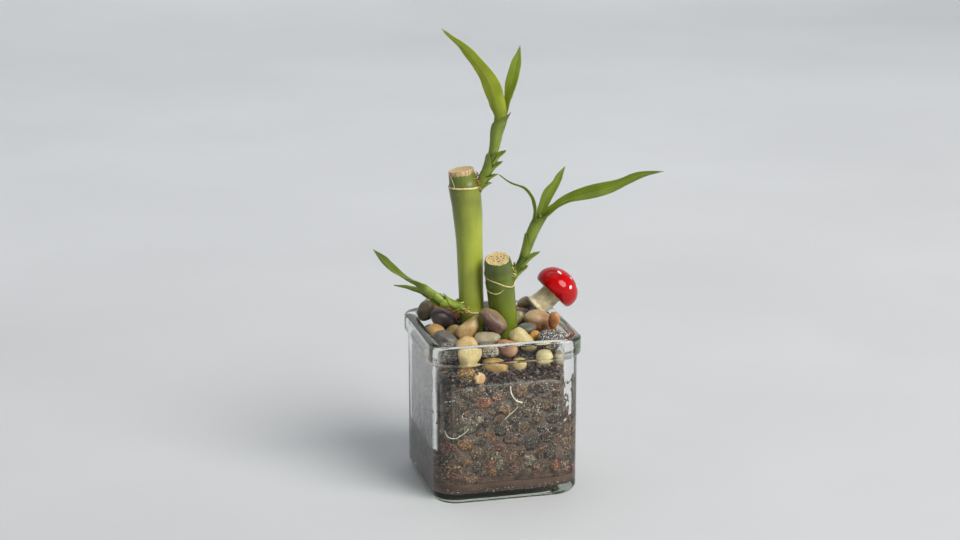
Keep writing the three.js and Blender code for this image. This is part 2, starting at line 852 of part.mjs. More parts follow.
/** The lower layer stands along the glass: each entry gives a stone's place round the jar. */
const lowerPebbles = [
  { name: 'low_speckled', at: [-20, -28, 71.2], size: [11, 8, 8], color: STONE.speckled },
  { name: 'low_tan', at: [-5.6, -27.8, 71.4], size: [13.6, 9, 7.4], color: STONE.tan },
  { name: 'low_cream', at: [7.4, -28, 71.4], size: [8, 8, 7], color: STONE.cream },
  { name: 'low_cream_right', at: [20.6, -28, 74], size: [8.6, 8, 9], color: STONE.cream },
  { name: 'low_beige_corner', at: [30, -26.6, 72.4], size: [7.6, 8, 8], color: STONE.beige },
  { name: 'low_rust', at: [28.6, -12, 78.4], size: [9.4, 12, 10], color: STONE.rust },
  { name: 'low_grey', at: [28.6, 3, 72], size: [9, 14.1, 9.4], color: STONE.grey },
  { name: 'low_mauve', at: [28.2, 18, 73], size: [9.6, 14, 10], color: STONE.mauve },
  { name: 'low_tan_back', at: [19, 28.4, 74], size: [14.1, 9, 10], color: STONE.tan },
  { name: 'low_olive_back', at: [3.6, 28.6, 73.4], size: [14, 8.6, 10], color: STONE.olive },
  { name: 'low_pink_back', at: [-12.4, 28.4, 73.6], size: [14.1, 9, 10], color: STONE.pink },
  { name: 'low_grey_left', at: [-28.2, 22, 73.6], size: [9, 14, 10], color: STONE.grey },
  { name: 'low_plum', at: [-28.6, 7, 72.4], size: [8.6, 14, 10], color: STONE.plum },
  { name: 'low_ochre', at: [-28.6, -9, 71.4], size: [8.6, 14.1, 9.6], color: STONE.ochre },
];

const FRONT_TURN = THREE.MathUtils.radToDeg(-0.2464); // the front corner view, as `lean` is seen

/** A river pebble: a rounded block with slow ripples, narrower at one end where `egg` says so. */
function pebbleGeometry({ size, lean = 0, turn = 0, egg = 0, blocky = 2.45 }, seed, detail, swell = 0) {
  const stone = deform(new THREE.IcosahedronGeometry(1, detail), (x, y, z) => {
    const norm = [x, y, z].reduce((sum, t) => sum + Math.abs(t) ** blocky, 0) ** (1 / blocky);
    const ripple = 1 + 0.07 * Math.sin(2.3 * x + 3.1 * y + seed) + 0.06 * Math.sin(3.7 * z - 1.9 * x + 2 * seed);
    const taper = 1 + (egg * x) / norm;
    const [length, depth, height] = size.map((s) => s / 2 + swell);
    const scale = ripple / norm;
    return vec(x * scale * length, y * scale * taper * depth, z * scale * taper * height);
  });
  stone.rotateY(-THREE.MathUtils.degToRad(lean));
  return stone.rotateZ(THREE.MathUtils.degToRad(turn + FRONT_TURN));
}

/** Whether two boxes, each with a `min` and a `max` corner, share some space. */
function boxesMeet(a, b) {
  return [0, 1, 2].every((axis) => a.min[axis] < b.max[axis] && b.min[axis] < a.max[axis]);
}

/** Pushes the stones apart, and off what is fixed, until each has its clearance. */
function settle(stones, fixed) {
  const step = 0.3;
  for (let round = 0; round < 60; round++) {
    let moved = 0;
    for (const stone of stones) {
      const body = stone.swollen.translate(stone.at);
      const box = body.boundingBox();
      const push = vec(0, 0, 0);
      for (const other of [...fixed, ...stones]) {
        if (other === stone) continue;
        const near = other.at ? other.plain.translate(other.at) : other.plain;
        if (!boxesMeet(box, near.boundingBox())) continue;
        const shared = body.intersect(near);
        if (shared.volume() < 1e-4) continue;
        const { min, max } = shared.boundingBox();
        const middle = min.map((low, axis) => (low + max[axis]) / 2);
        push.add(vec(...stone.at).sub(vec(...middle)).normalize());
      }
      if (push.length() === 0) continue;
      push.normalize().multiplyScalar(step);
      stone.at = vec(...stone.at).add(push).toArray();
      moved += 1;
    }
    if (!moved) return;
  }
}

/** Lowers each stone that nothing carries until it rests on its neighbours or on the bed. */
function rest(stones, fixed, bed) {
  for (const stone of [...stones].sort((a, b) => a.at[2] - b.at[2])) {
    for (let fall = 0; fall < 20; fall++) {
      const body = stone.plain.translate(stone.at);
      const carriers = [bed, ...fixed, ...stones.filter((other) => other !== stone)];
      const gaps = carriers.map((other) => {
        const near = other.at ? other.plain.translate(other.at) : other.plain;
        return near.minGap(body, 4);
      });
      const free = Math.min(...gaps) - GAP;
      if (free < 0.05) break;
      stone.at = [stone.at[0], stone.at[1], stone.at[2] - free];
    }
  }
}

// ---------------------------------------------------------------- bed

/** Height of the bed at a place: low along the glass, mounded round the stalks, rough all over. */
function bedHeight(x, y) {
  const toGlass = JAR.innerHalf - Math.max(Math.abs(x), Math.abs(y));
  const rise = THREE.MathUtils.smoothstep(toGlass, 1, 11);
  const slope = FILL.moundSlope * y * rise;
  const rough = 2 * FILL.relief * (noise(x / FILL.lump, y / FILL.lump, 7) - 0.5);
  return FILL.bedWall + (FILL.bedMound - FILL.bedWall) * rise + slope + rough;
}

/**
 * The bed before anything is pressed into it: a block with lumps all round and a rough top.
 *
 * Its rows of facets lie half a lump apart. Every other corner of them stands out as the head of a lump,
 * and the ones between are hollows.
 */
function bedSolid() {
  const half = JAR.innerHalf - GAP;
  const floor = FILL.siltTop + GAP;
  const rows = 2 * Math.round((FILL.bedWall - floor) / (FILL.lump * Math.SQRT2));
  const topRings = 5;
  const profile = [[0, floor]];
  for (let i = 0; i <= rows; i++) profile.push([half, floor + ((FILL.bedWall - floor) * i) / rows]);
  for (let i = 1; i <= topRings; i++) profile.push([half * (1 - i / topRings), FILL.bedWall]);
  const block = squareTurned(profile, LUMPY);
  const rough = deform(block, (x, y, z, index) => {
    const row = (index % profile.length) - 1;
    if (z >= FILL.bedWall - 1e-6) return vec(x, y, bedHeight(x, y));
    if (row < 0) return vec(x, y, z);
    const step = Math.floor(index / profile.length);
    const uneven = noise(x / FILL.lump, y / FILL.lump, z / FILL.lump);
    const dent = FILL.hollow * ((row + step) % 2 ? 0.65 + 0.35 * uneven : 0.16 * uneven);
    const outline = Math.max(Math.abs(x), Math.abs(y));
    const shrink = (outline - dent) / outline;
    return vec(x * shrink, y * shrink, row > 0 ? z + (uneven - 0.5) * 1.6 : z);
  });
  return solid(rough);
}

/** The same axis with a wider tube: the room that a stem takes in what it stands in or is grown on by. */
function holeAround(axis, radiusAt, steps = 6) {
  const length = axis.getLength();
  const facets = 0.12; // the flats of the tube lie this much inside its radius
  const profile = [[0, -GAP]];
  for (let i = 0; i <= steps; i++) {
    const s = (length * i) / steps;
    profile.push([radiusAt(s) + GAP + facets, i === 0 ? -GAP : s]);
  }
  profile.push([0, length]);
  return solid(bendAlong(turned(profile, STALK.sides), axis));
}

// ---------------------------------------------------------------- assembly

makeJar();

const siltProfile = [
  [0, JAR.base + GAP],
  [FILL.siltHalf - 4, JAR.base + GAP],
  [FILL.siltHalf - 1, JAR.base + 1.9],
  [FILL.siltHalf, JAR.base + 4.6],
  [FILL.siltHalf, FILL.siltTop],
  [0, FILL.siltTop],
];
add('silt', closed(squareTurned(siltProfile)), finishes.silt);

const { tall, short, stems } = makePlant();
add('tall_stalk', geometryOf(tall), finishes.stalk);
add('short_stalk', geometryOf(short), finishes.darkStalk);
for (const [name, stem] of Object.entries(stems)) add(`${name}_shoot`, geometryOf(stem), finishes.shoot);

for (const leaf of leaves) {
  const { shoot, from, to, back } = leaf.clasp;
  const spine = claspedSpine(shoot, leaf.clasp);
  const sheath = ((to - from) * shoot.axis.getLength()) / spine.getLength();
  const stations = leafStations(leaf, sheath);
  add(leaf.name, closed(leafGeometry({ ...leaf, spine, back, sheath, stations })), finishes.leaf);
}
add(innerLeaf.name, closed(leafGeometry(innerLeaf)), finishes.leaf);

const cap = capGeometry();
const stem = stemGeometry();
const wire = wireGeometry();
add('toadstool_cap', closed(cap), finishes.lacquer);
add('toadstool_stem', closed(stem), finishes.foam);
add('toadstool_wire', closed(wire), finishes.wire);

const FINE_STONE = 14.2; // stones longer than this have more facets

const stones = [...lowerPebbles, ...upperPebbles].map((pebble, i) => {
  const detail = Math.max(...pebble.size) > FINE_STONE ? 2 : 1;
  const plain = solid(pebbleGeometry(pebble, i + 1, detail));
  const swollen = solid(pebbleGeometry(pebble, i + 1, detail, GAP + 0.05));
  return { ...pebble, plain, swollen };
});
const jarSolid = solid(plant.getObjectByName('jar').geometry);
const fixed = [jarSolid, tall, short, stems.base, solid(stem), solid(wire)].map((plain) => ({ plain }));
settle(stones, fixed);

let bed = bedSolid();
rest(stones, fixed, { plain: bed });
bed = bed.subtract(holeAround(tallStalk.axis, radiusFrom(tallStalk.radius)));
bed = bed.subtract(holeAround(shortStalk.axis, radiusFrom(shortStalk.radius)));
bed = bed.subtract(solid(wireGeometry(GAP)));
for (const stone of stones) {
  bed = bed.subtract(stone.swollen.translate(stone.at));
  add(`pebble_${stone.name}`, geometryOf(stone.plain.translate(stone.at)), { color: stone.color, roughness: 0.6 });
}
add('bed', geometryOf(bed), finishes.granules);

export default plant;
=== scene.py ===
"""Lucky bamboo in a square glass jar: the looks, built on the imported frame.

The frame gives the place and size of every piece. The sizes written here are in millimetres, in the same
frame: the middle of the jar's flat base is the origin, +Z is up and the jar's front side faces -Y. A mesh
is made in millimetres and brought to metres when it is finished.
"""

import logging
import random
from dataclasses import dataclass, field, replace
from enum import Enum
from math import atan2, copysign, cos, degrees, exp, floor, hypot, pi, radians, sin, sqrt
from typing import Iterable, Sequence

import bmesh
import bpy
from bmesh.types import BMesh, BMVert
from bpy.types import Material, Mesh, Node, NodeSocket, NodeTree, Object
from mathutils import Matrix, Vector
from mathutils.bvhtree import BVHTree
from mathutils.noise import noise


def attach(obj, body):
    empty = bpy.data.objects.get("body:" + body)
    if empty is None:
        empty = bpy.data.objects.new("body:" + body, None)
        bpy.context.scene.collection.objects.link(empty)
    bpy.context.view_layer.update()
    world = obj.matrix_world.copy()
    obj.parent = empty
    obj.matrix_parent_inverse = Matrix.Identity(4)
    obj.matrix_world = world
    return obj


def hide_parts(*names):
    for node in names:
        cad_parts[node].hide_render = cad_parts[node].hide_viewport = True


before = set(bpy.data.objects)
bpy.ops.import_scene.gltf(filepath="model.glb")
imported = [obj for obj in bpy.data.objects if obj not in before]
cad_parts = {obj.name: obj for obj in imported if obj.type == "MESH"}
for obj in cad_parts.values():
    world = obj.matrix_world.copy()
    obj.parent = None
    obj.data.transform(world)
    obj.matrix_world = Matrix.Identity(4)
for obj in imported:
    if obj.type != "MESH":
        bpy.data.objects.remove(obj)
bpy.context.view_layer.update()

log = logging.getLogger("lucky_bamboo")

MM = 0.001  # one millimetre in metres
BODY = "root"
WAVE_STEP = 20  # a wave texture at scale 1 repeats this often in a unit
VIEWER_TURN = 165.9  # where a stem's front lies, in degrees round it from its own +X

BACKWARDS = Vector((0, 1, 0))  # away from the viewer: a carried shape's own +X is turned to it

Point = tuple[float, float, float]
Pairs = Sequence[tuple[float, float]]
Stops = Sequence[tuple[float, str]]
Feed = NodeSocket | float | str  # what may feed an input: an output, a number or an sRGB hex colour


# ---------------- colour and shader helpers


def linear(hex_colour: str) -> tuple[float, float, float, float]:
    """Turns an sRGB hex colour, "#rrggbb", into the linear values that a shader takes."""
    channels = [int(hex_colour[i : i + 2], 16) / 255 for i in (1, 3, 5)]
    straight = [c / 12.92 if c <= 0.04045 else ((c + 0.055) / 1.055) ** 2.4 for c in channels]
    return (straight[0], straight[1], straight[2], 1.0)


def per_mm(spacing: float) -> float:
    """The scale of a pattern on Object coordinates whose features lie `spacing` millimetres apart."""
    return 1.0 / (spacing * MM)


def set_up(tree: NodeTree, node: Node, settings: dict) -> Node:
    """Sets a node's inputs and properties.

    Args:
        tree: The tree that holds the node.
        node: The node.
        settings: Inputs or properties, each with a value, an sRGB hex colour, or the output that feeds it.

    Returns:
        The node.
    """
    for name, value in settings.items():
        if isinstance(value, NodeSocket):
            tree.links.new(value, node.inputs[name])
            continue
        if isinstance(value, str) and value.startswith("#"):
            value = linear(value)
        if isinstance(name, int) or name in node.inputs:
            node.inputs[name].default_value = value
        else:
            setattr(node, name, value)
    return node


def add_node(tree: NodeTree, kind: str, settings: dict) -> Node:
    """Adds a node of a type, named without its "ShaderNode" prefix, and sets it up."""
    return set_up(tree, tree.nodes.new("ShaderNode" + kind), settings)


def add_ramp(tree: NodeTree, factor: NodeSocket, stops: Stops) -> NodeSocket:
    """Adds a colour ramp.

    Args:
        tree: The tree that takes the ramp.
        factor: The output socket that drives it.
        stops: Places from 0 to 1, each with its sRGB hex colour.

    Returns:
        The ramp's colour socket.
    """
    ramp = add_node(tree, "ValToRGB", {"Fac": factor})
    elements = ramp.color_ramp.elements
    while len(elements) < len(stops):
        elements.new(0.5)
    for element, (place, colour) in zip(elements, stops):
        element.position = place
        element.color = linear(colour)
    return ramp.outputs["Color"]


class Recipe:
    """A material while it is made: its node tree, its Principled shader and the piece's own coordinates.

    Each of its methods adds nodes, and gives their output.
    """

    def __init__(self, name: str) -> None:
        """Starts a material with one Principled shader."""
        self.material = bpy.data.materials.new(name)
        self.material.use_nodes = True
        self.tree = self.material.node_tree
        self.shader = self.tree.nodes["Principled BSDF"]
        self.place = self.add("TexCoord", {}).outputs["Object"]

    def add(self, kind: str, settings: dict) -> Node:
        """Adds a node."""
        return add_node(self.tree, kind, settings)

    def read(self, attribute: str) -> NodeSocket:
        """A number that the mesh holds at each point."""
        return self.add("Attribute", {"attribute_name": attribute}).outputs["Fac"]

    def stretched(self, scale: Point, place: NodeSocket | None = None) -> NodeSocket:
        """Coordinates scaled along each axis."""
        return self.add("Mapping", {"Vector": place or self.place, "Scale": scale}).outputs[0]

    def noise(
        self, spacing: float, detail: float, roughness: float = 0.5, place: NodeSocket | None = None
    ) -> NodeSocket:
        """Soft noise whose features lie `spacing` millimetres apart."""
        settings = {"Scale": per_mm(spacing), "Detail": detail, "Roughness": roughness}
        return self.add("TexNoise", {"Vector": place or self.place, **settings}).outputs["Fac"]

    def cells(self, spacing: float, place: NodeSocket | None = None, **settings: Feed) -> Node:
        """Cells about `spacing` millimetres across."""
        return self.add("TexVoronoi", {"Vector": place or self.place, "Scale": per_mm(spacing), **settings})

    def ramp(self, factor: NodeSocket, *stops: tuple[float, str]) -> NodeSocket:
        """A colour ramp between stops."""
        return add_ramp(self.tree, factor, stops)

    def mix(self, factor: Feed, low: Feed, high: Feed, mode: str = "MIX") -> NodeSocket:
        """Two colours mixed by a factor, in a blend mode."""
        settings = {"data_type": "RGBA", "blend_type": mode, 0: factor, 6: low, 7: high}
        return self.add("Mix", settings).outputs[2]

    def maths(self, operation: str, first: Feed, second: Feed = 0.0, clamp: bool = False) -> NodeSocket:
        """The result of a Math node, held between 0 and 1 if `clamp` says so."""
        settings = {"operation": operation, "use_clamp": clamp, 0: first, 1: second}
        return self.add("Math", settings).outputs[0]

    def shade(
        self, colour: Feed, pattern: Feed, low: float, dark: str, high: float, share: float = 1.0
    ) -> NodeSocket:
        """Darkens a colour towards `dark` where a pattern falls from `high` to `low`."""
        return self.mix(share, colour, self.ramp(pattern, (low, dark), (high, "#ffffff")), "MULTIPLY")

    def lay(
        self, colour: Feed, pattern: Feed, low: float, high: float, over: Feed, most: str = "#ffffff"
    ) -> NodeSocket:
        """Lays a colour over one where a pattern rises from `low` to `high`, as far as a grey allows."""
        return self.mix(self.ramp(pattern, (low, "#000000"), (high, most)), colour, over)

    def cover(self, factor: Feed, other: Node) -> None:
        """Mixes another shader over the Principled one."""
        both = self.add("MixShader", {0: factor, 1: self.shader.outputs[0], 2: other.outputs[0]})
        set_up(self.tree, self.tree.nodes["Material Output"], {"Surface": both.outputs[0]})

    def finish(self, colour: Feed, settings: dict, *layers: tuple[Feed, float, float]) -> Material:
        """Dresses the shader.

        Args:
            colour: Its base colour.
            settings: Its other inputs.
            layers: Bump layers, the coarse one first: height, strength and depth in millimetres.

        Returns:
            The material.
        """
        set_up(self.tree, self.shader, {"Base Color": colour, **settings})
        below = {}
        for height, strength, depth in layers:
            bump = self.add("Bump", {"Height": height, "Strength": strength, "Distance": depth * MM, **below})
            below = {"Normal": bump.outputs["Normal"]}
        set_up(self.tree, self.shader, below)
        return self.material


# ---------------- finishes


@dataclass(frozen=True)
class PressedGlass:
    """Soda-lime glass pressed in a mould.

    The faint iron tint shows only where the eye looks along the glass, and the mould leaves slow waves in the
    faces, which bend what is seen through them. Lamps shine through it, so that the fill is lit.
    """

    tint: str = "#e0e9da"
    depth: float = 55.0  # mm of glass that take the tint in full
    wave: float = 14.0  # mm between the waves of the mould

    def material(self) -> Material:
        """Makes the material."""
        glass = Recipe("pressed_soda_lime_glass")
        settings = {"Roughness": 0.0, "IOR": 1.52, "Transmission Weight": 1.0, "Specular Tint": "#b0b0b0"}
        layers = (glass.noise(self.wave, 1.0), 0.25, 0.5), (glass.noise(3.5, 1.0), 0.08, 0.12)
        glass.finish("#ffffff", settings, *layers)
        absorb = glass.add("VolumeAbsorption", {"Color": self.tint, "Density": per_mm(self.depth)})
        set_up(glass.tree, glass.tree.nodes["Material Output"], {"Volume": absorb.outputs["Volume"]})
        clear = glass.add("BsdfTransparent", {"Color": "#eef3f0"})
        glass.cover(glass.add("LightPath", {}).outputs["Is Shadow Ray"], clear)
        return glass.material


class Pattern(Enum):
    """How a river stone is marked."""

    PLAIN = "plain"
    MOTTLED = "mottled"
    BANDED = "banded"
    SPECKLED = "speckled"
    STREAKED = "streaked"


@dataclass(frozen=True)
class RiverStone:
    """A river pebble, tumbled smooth: satin, darker towards one side, with fine grain and a few pits.

    The attribute `side` runs from 0 to 1 towards the darker side: partly stain, partly painted shade.
    """

    name: str
    body: str
    # the colour towards the darker side: partly stain, partly painted shade
    stain: str
    mark: str
    pattern: Pattern = Pattern.MOTTLED
    roughness: float = 0.42
    turn: float = 0.0  # degrees that bands and streaks are turned in the front view

    def marks(self, stone: Recipe, colour: NodeSocket) -> NodeSocket:
        """Lays the stone's own marks over its body, darkened towards one side.

        Args:
            stone: The material in the making.
            colour: The body's colour.

        Returns:
            The marked colour.
        """
        if self.pattern is Pattern.SPECKLED:
            grains = stone.add("SeparateColor", {"Color": stone.cells(0.5, Randomness=1.0).outputs["Color"]})
            colour = stone.lay(colour, grains.outputs[0], 0.7, 0.74, self.mark)
            dark = stone.ramp(grains.outputs[1], (0.26, "#ffffff"), (0.3, "#000000"))
            return stone.mix(dark, colour, "#211f1e")
        if self.pattern in (Pattern.BANDED, Pattern.STREAKED):
            spacing, start = (3.4, 0.45) if self.pattern is Pattern.BANDED else (9.0, 0.86)
            turn = (0.3, radians(self.turn), 0.2)
            turned = stone.add("Mapping", {"Vector": stone.place, "Rotation": turn}).outputs[0]
            settings = {"Scale": per_mm(spacing) / WAVE_STEP, "Distortion": 3.0, "Detail": 2.0}
            wave = stone.add("TexWave", {"Vector": turned, "bands_direction": "Z", **settings}).outputs["Fac"]
            return stone.lay(colour, wave, start, start + 0.1, self.mark, "#d0d0d0")
        if self.pattern is Pattern.MOTTLED:
            return stone.lay(colour, stone.noise(2.6, 4.0, 0.65), 0.52, 0.72, self.mark, "#b0b0b0")
        return colour

    def material(self) -> Material:
        """Makes the material."""
        stone = Recipe("river_stone_" + self.name)
        slow = stone.noise(6.0, 3.0)
        reach = stone.maths("ADD", stone.maths("MULTIPLY", slow, 1.1), stone.read("side"))
        # the darker colour towards one side: partly stain, partly painted shade
        colour = stone.lay(self.body, stone.maths("MULTIPLY", reach, 0.5), 0.42, 0.68, self.stain)
        grain = stone.noise(0.55, 3.0, 0.7)
        colour = stone.shade(self.marks(stone, colour), grain, 0.3, "#c4beb6", 0.6, 0.8)
        ends = {"To Min": self.roughness - 0.1, "To Max": self.roughness + 0.14}
        settings = {"Roughness": stone.add("MapRange", {"Value": slow, **ends}).outputs[0], "IOR": 1.5}
        hollow = stone.ramp(stone.cells(1.7).outputs["Distance"], (0.0, "#000000"), (0.24, "#ffffff"))
        return stone.finish(colour, settings, (grain, 0.35, 0.16), (hollow, 0.14, 0.2))


WET_TONES = (
    (0.0, "#443d39"), (0.12, "#5e544d"), (0.25, "#79695a"), (0.38, "#8d7558"), (0.5, "#855c49"),
    (0.6, "#9a5640"), (0.65, "#ba7450"), (0.7, "#a97648"), (0.8, "#b09258"), (0.88, "#9b7b69"),
    (0.94, "#868774"), (1.0, "#c6baa2"),
)
# darker than the wet tones: partly the lumps' own colour, partly painted shade in the drained zone under the
# pebbles
DARK_TONES = (
    (0.0, "#241a17"), (0.2, "#3a2722"), (0.4, "#5a2e24"), (0.55, "#7a3c2a"), (0.7, "#4a3a32"),
    (0.85, "#8a5c38"), (1.0, "#b4a48e"),
)


@dataclass(frozen=True)
class LavaGranules:
    """Crushed lava rock and bark: porous, with pale specks that are partly dust and partly painted glints,
    and each lump has its own colour.

    The attribute `tone` holds a number from 0 to 1 for each lump.
    """

    name: str
    tones: Stops
    roughness: float
    coat: float

    def material(self) -> Material:
        """Makes the material."""
        rock = Recipe(self.name)
        base = rock.ramp(rock.read("tone"), *self.tones)
        base = rock.shade(base, rock.noise(2.4, 2.0), 0.36, "#8c8682", 0.6)
        fleck = rock.noise(0.9, 4.0, 0.75)
        shade = rock.ramp(fleck, (0.36, "#463e39"), (0.5, "#bcb2a8"), (0.6, "#ffffff"))
        # pale specks: partly dust, partly painted glints
        colour = rock.lay(rock.mix(1.0, base, shade, "MULTIPLY"), fleck, 0.55, 0.66, "#d6c6ae", "#cccccc")
        settings = {"Roughness": self.roughness, "Coat Weight": self.coat, "Coat Roughness": 0.1}
        pores = rock.cells(0.8).outputs["Distance"]
        return rock.finish(colour, settings, (fleck, 0.8, 0.5), (pores, 0.6, 0.3))


@dataclass(frozen=True)
class WetGrit:
    """Fine grit in muddy water against the glass: grey above, browner towards the silt, with specks."""

    low: str = "#665044"
    high: str = "#665d56"

    def material(self) -> Material:
        """Makes the material."""
        grit = Recipe("wet_fine_grit")
        height = grit.add("SeparateXYZ", {"Vector": grit.place}).outputs[2]
        rise = grit.add("MapRange", {"Value": height, "From Min": 12 * MM, "From Max": 52 * MM}).outputs[0]
        base = grit.mix(rise, self.low, self.high)
        base = grit.shade(base, grit.noise(5.5, 3.0), 0.36, "#7c7673", 0.58)
        grain = grit.noise(1.1, 4.0, 0.75)
        base = grit.shade(base, grain, 0.34, "#8a827c", 0.52, 0.9)
        base = grit.lay(base, grain, 0.6, 0.74, "#b3a594", "#b0b0b0")
        return grit.finish(base, {"Roughness": 0.5}, (grain, 0.5, 0.3))


@dataclass(frozen=True)
class WetSilt:
    """Fine silt that has washed down and settled: a smooth mud, clouded in bands, wet against the glass."""

    low: str = "#4a3a30"
    high: str = "#6b5142"

    def material(self) -> Material:
        """Makes the material."""
        mud = Recipe("settled_wet_silt")
        cloud = mud.noise(5.0, 4.0, place=mud.stretched((0.35, 0.35, 1.4)))
        grit = mud.noise(0.5, 2.0)
        colour = mud.ramp(cloud, (0.3, self.low), (0.7, self.high))
        colour = mud.shade(colour, grit, 0.34, "#6a5a50", 0.5, 0.6)
        return mud.finish(colour, {"Roughness": 0.5}, (grit, 0.25, 0.15))


@dataclass(frozen=True)
class CaneSkin:
    """The living skin of a stalk: waxy, finely lined along its length, with painted light: paler and yellower
    on the side towards the lamp.

    The attribute `along` runs from 0 at the foot to 1 at the cut.
    """

    name: str
    shades: Stops  # from the foot to the cut
    # painted light: the colour laid on the side towards the lamp
    lit_colour: str  # the side towards the light
    dry_from: float  # where the dried edge below the cut begins

    def material(self) -> Material:
        """Makes the material."""
        skin = Recipe(self.name)
        along = skin.read("along")
        lines = skin.noise(1.3, 3.0, 0.6, skin.stretched((1.0, 1.0, 0.06)))
        base = skin.shade(skin.ramp(along, *self.shades), lines, 0.3, "#c9c7b0", 0.7, 0.75)
        # painted light on the side towards the lamp, in slow patches
        painted_light = skin.maths("MULTIPLY", skin.read("lit_side"), skin.noise(16.0, 2.0), clamp=True)
        base = skin.mix(painted_light, base, self.lit_colour)
        scab = skin.ramp(skin.cells(6.5).outputs["Distance"], (0.03, "#ffffff"), (0.05, "#000000"))
        base = skin.mix(skin.maths("MULTIPLY", scab, 0.6), base, "#d8d79a")
        ragged = skin.noise(1.6, 2.0)
        edge = skin.maths("ADD", along, skin.maths("MULTIPLY", ragged, 0.03))
        dry = skin.maths("GREATER_THAN", edge, self.dry_from + 0.015)
        base = skin.mix(dry, base, skin.ramp(lines, (0.35, "#8d6f45"), (0.6, "#d3b886")))
        settings = {
            "Roughness": 0.36, "Subsurface Weight": 0.12, "Subsurface Radius": (0.0012, 0.0012, 0.0004),
            "Coat Weight": 0.18, "Coat Roughness": 0.22,
        }
        return skin.finish(base, settings, (lines, 0.3, 0.2), (ragged, 0.12, 0.2))


@dataclass(frozen=True)
class CutPith:
    """The sawn end of a stalk: pale dry pith with the brown ends of its vessels, and a browner rim."""

    name: str
    pith: str
    vessel: str
    spacing: float  # mm between vessels
    size: float  # how much of its cell a vessel fills

    def material(self) -> Material:
        """Makes the material."""
        end = Recipe(self.name)
        flat = end.stretched((1.0, 1.0, 0.3))
        vessels = end.cells(self.spacing, flat, Randomness=0.85).outputs["Distance"]
        spot = end.ramp(vessels, (self.size, "#ffffff"), (self.size + 0.09, "#000000"))
        spot = end.maths("MULTIPLY", spot, end.read("core"), clamp=True)
        fibre = end.noise(0.8, 3.0, place=flat)
        colour = end.mix(spot, end.ramp(fibre, (0.3, "#a98c5e"), (0.62, self.pith)), self.vessel)
        return end.finish(colour, {"Roughness": 0.82}, (fibre, 0.5, 0.3), (vessels, 0.3, 0.3))


@dataclass(frozen=True)
class DryFibre:
    """Dried sheath and root fibre: straw-coloured, dull and stringy."""

    name: str
    pale: str
    deep: str

    def material(self) -> Material:
        """Makes the material."""
        straw = Recipe(self.name)
        fibre = straw.noise(0.9, 4.0, 0.7)
        colour = straw.ramp(fibre, (0.34, self.deep), (0.6, self.pale))
        return straw.finish(colour, {"Roughness": 0.7}, (fibre, 0.6, 0.25))


@dataclass(frozen=True)
class BladeSkin:
    """A leaf or a scale leaf: satin, with parallel veins, lit through from behind.

    Its UV map `blade` holds millimetres across and along, and the attribute `along` runs from 0 at the foot
    to 1 at the tip. Real veins lie 0.3 mm apart; these are drawn 0.75 mm apart, so that they show.
    """

    name: str
    foot: str
    middle: str
    tip: str
    glow: str  # the colour of the light that comes through
    through: float = 0.3

    def material(self) -> Material:
        """Makes the material."""
        leaf = Recipe(self.name)
        flat = leaf.add("UVMap", {"uv_map": "blade"}).outputs[0]
        stops = (0.1, self.foot), (0.22, self.middle), (0.6, self.middle), (0.96, self.tip)
        veins = leaf.noise(0.75 / MM, 2.0, 0.6, leaf.stretched((1.0, 0.03, 1.0), flat))
        base = leaf.shade(leaf.ramp(leaf.read("along"), *stops), veins, 0.32, "#c8cba6", 0.6, 0.8)
        across = leaf.add("SeparateXYZ", {"Vector": flat}).outputs[0]
        rib = leaf.maths("LESS_THAN", leaf.maths("ABSOLUTE", across), 0.35)
        base = leaf.mix(leaf.maths("MULTIPLY", rib, 0.35), base, "#b7c467")
        base = leaf.shade(base, leaf.noise(9.0, 3.0), 0.34, "#c2c6a0", 0.6, 0.7)
        leaf.finish(base, {"Roughness": 0.4, "Coat Weight": 0.1, "Coat Roughness": 0.3}, (veins, 0.35, 0.18))
        leaf.cover(self.through, leaf.add("BsdfTranslucent", {"Color": self.glow}))
        return leaf.material


@dataclass(frozen=True)
class DippedLacquer:
    """Red lacquer that the cap was dipped in: deep, wet-looking gloss over a faintly uneven foam dome."""

    colour: str = "#c4000a"
    shadow: str = "#9c0008"

    def material(self) -> Material:
        """Makes the material."""
        coat = Recipe("dipped_red_lacquer")
        pool = coat.noise(7.0, 2.0)
        colour = coat.ramp(pool, (0.3, self.shadow), (0.7, self.colour))
        layers = (pool, 0.1, 0.5), (coat.noise(1.4, 1.0), 0.05, 0.1)
        return coat.finish(colour, {"Roughness": 0.13, "Specular IOR Level": 0.3}, *layers)


@dataclass(frozen=True)
class BeadFoam:
    """Cream bead foam: its cells show as a shallow net, with faint darker patches of glue and dirt."""

    colour: str = "#e0d4b6"
    deep: str = "#b8aa80"

    def material(self) -> Material:
        """Makes the material."""
        foam = Recipe("cream_bead_foam")
        cells = foam.cells(1.5, feature="DISTANCE_TO_EDGE").outputs["Distance"]
        stain = foam.noise(4.0, 3.0)
        colour = foam.ramp(stain, (0.36, self.deep), (0.6, self.colour))
        colour = foam.shade(colour, cells, 0.0, "#cfc4a6", 0.08, 0.6)
        settings = {"Roughness": 0.75, "Subsurface Weight": 0.2, "Subsurface Radius": (0.002, 0.0018, 0.0014)}
        return foam.finish(colour, settings, (cells, 0.25, 0.2), (stain, 0.15, 0.3))


@dataclass(frozen=True)
class PlainSpeckle:
    """A plain finish with slight fine mottling: paint, wire, floor or backdrop."""

    name: str
    colour: str
    deep: str
    roughness: float
    grain: float  # mm between the patches
    metallic: float = 0.0

    def material(self) -> Material:
        """Makes the material."""
        plain = Recipe(self.name)
        grain = plain.noise(self.grain, 3.0)
        colour = plain.ramp(grain, (0.3, self.deep), (0.7, self.colour))
        settings = {"Roughness": self.roughness, "Metallic": self.metallic}
        return plain.finish(colour, settings, (grain, 0.1, 0.1))


# ---------------- mesh helpers


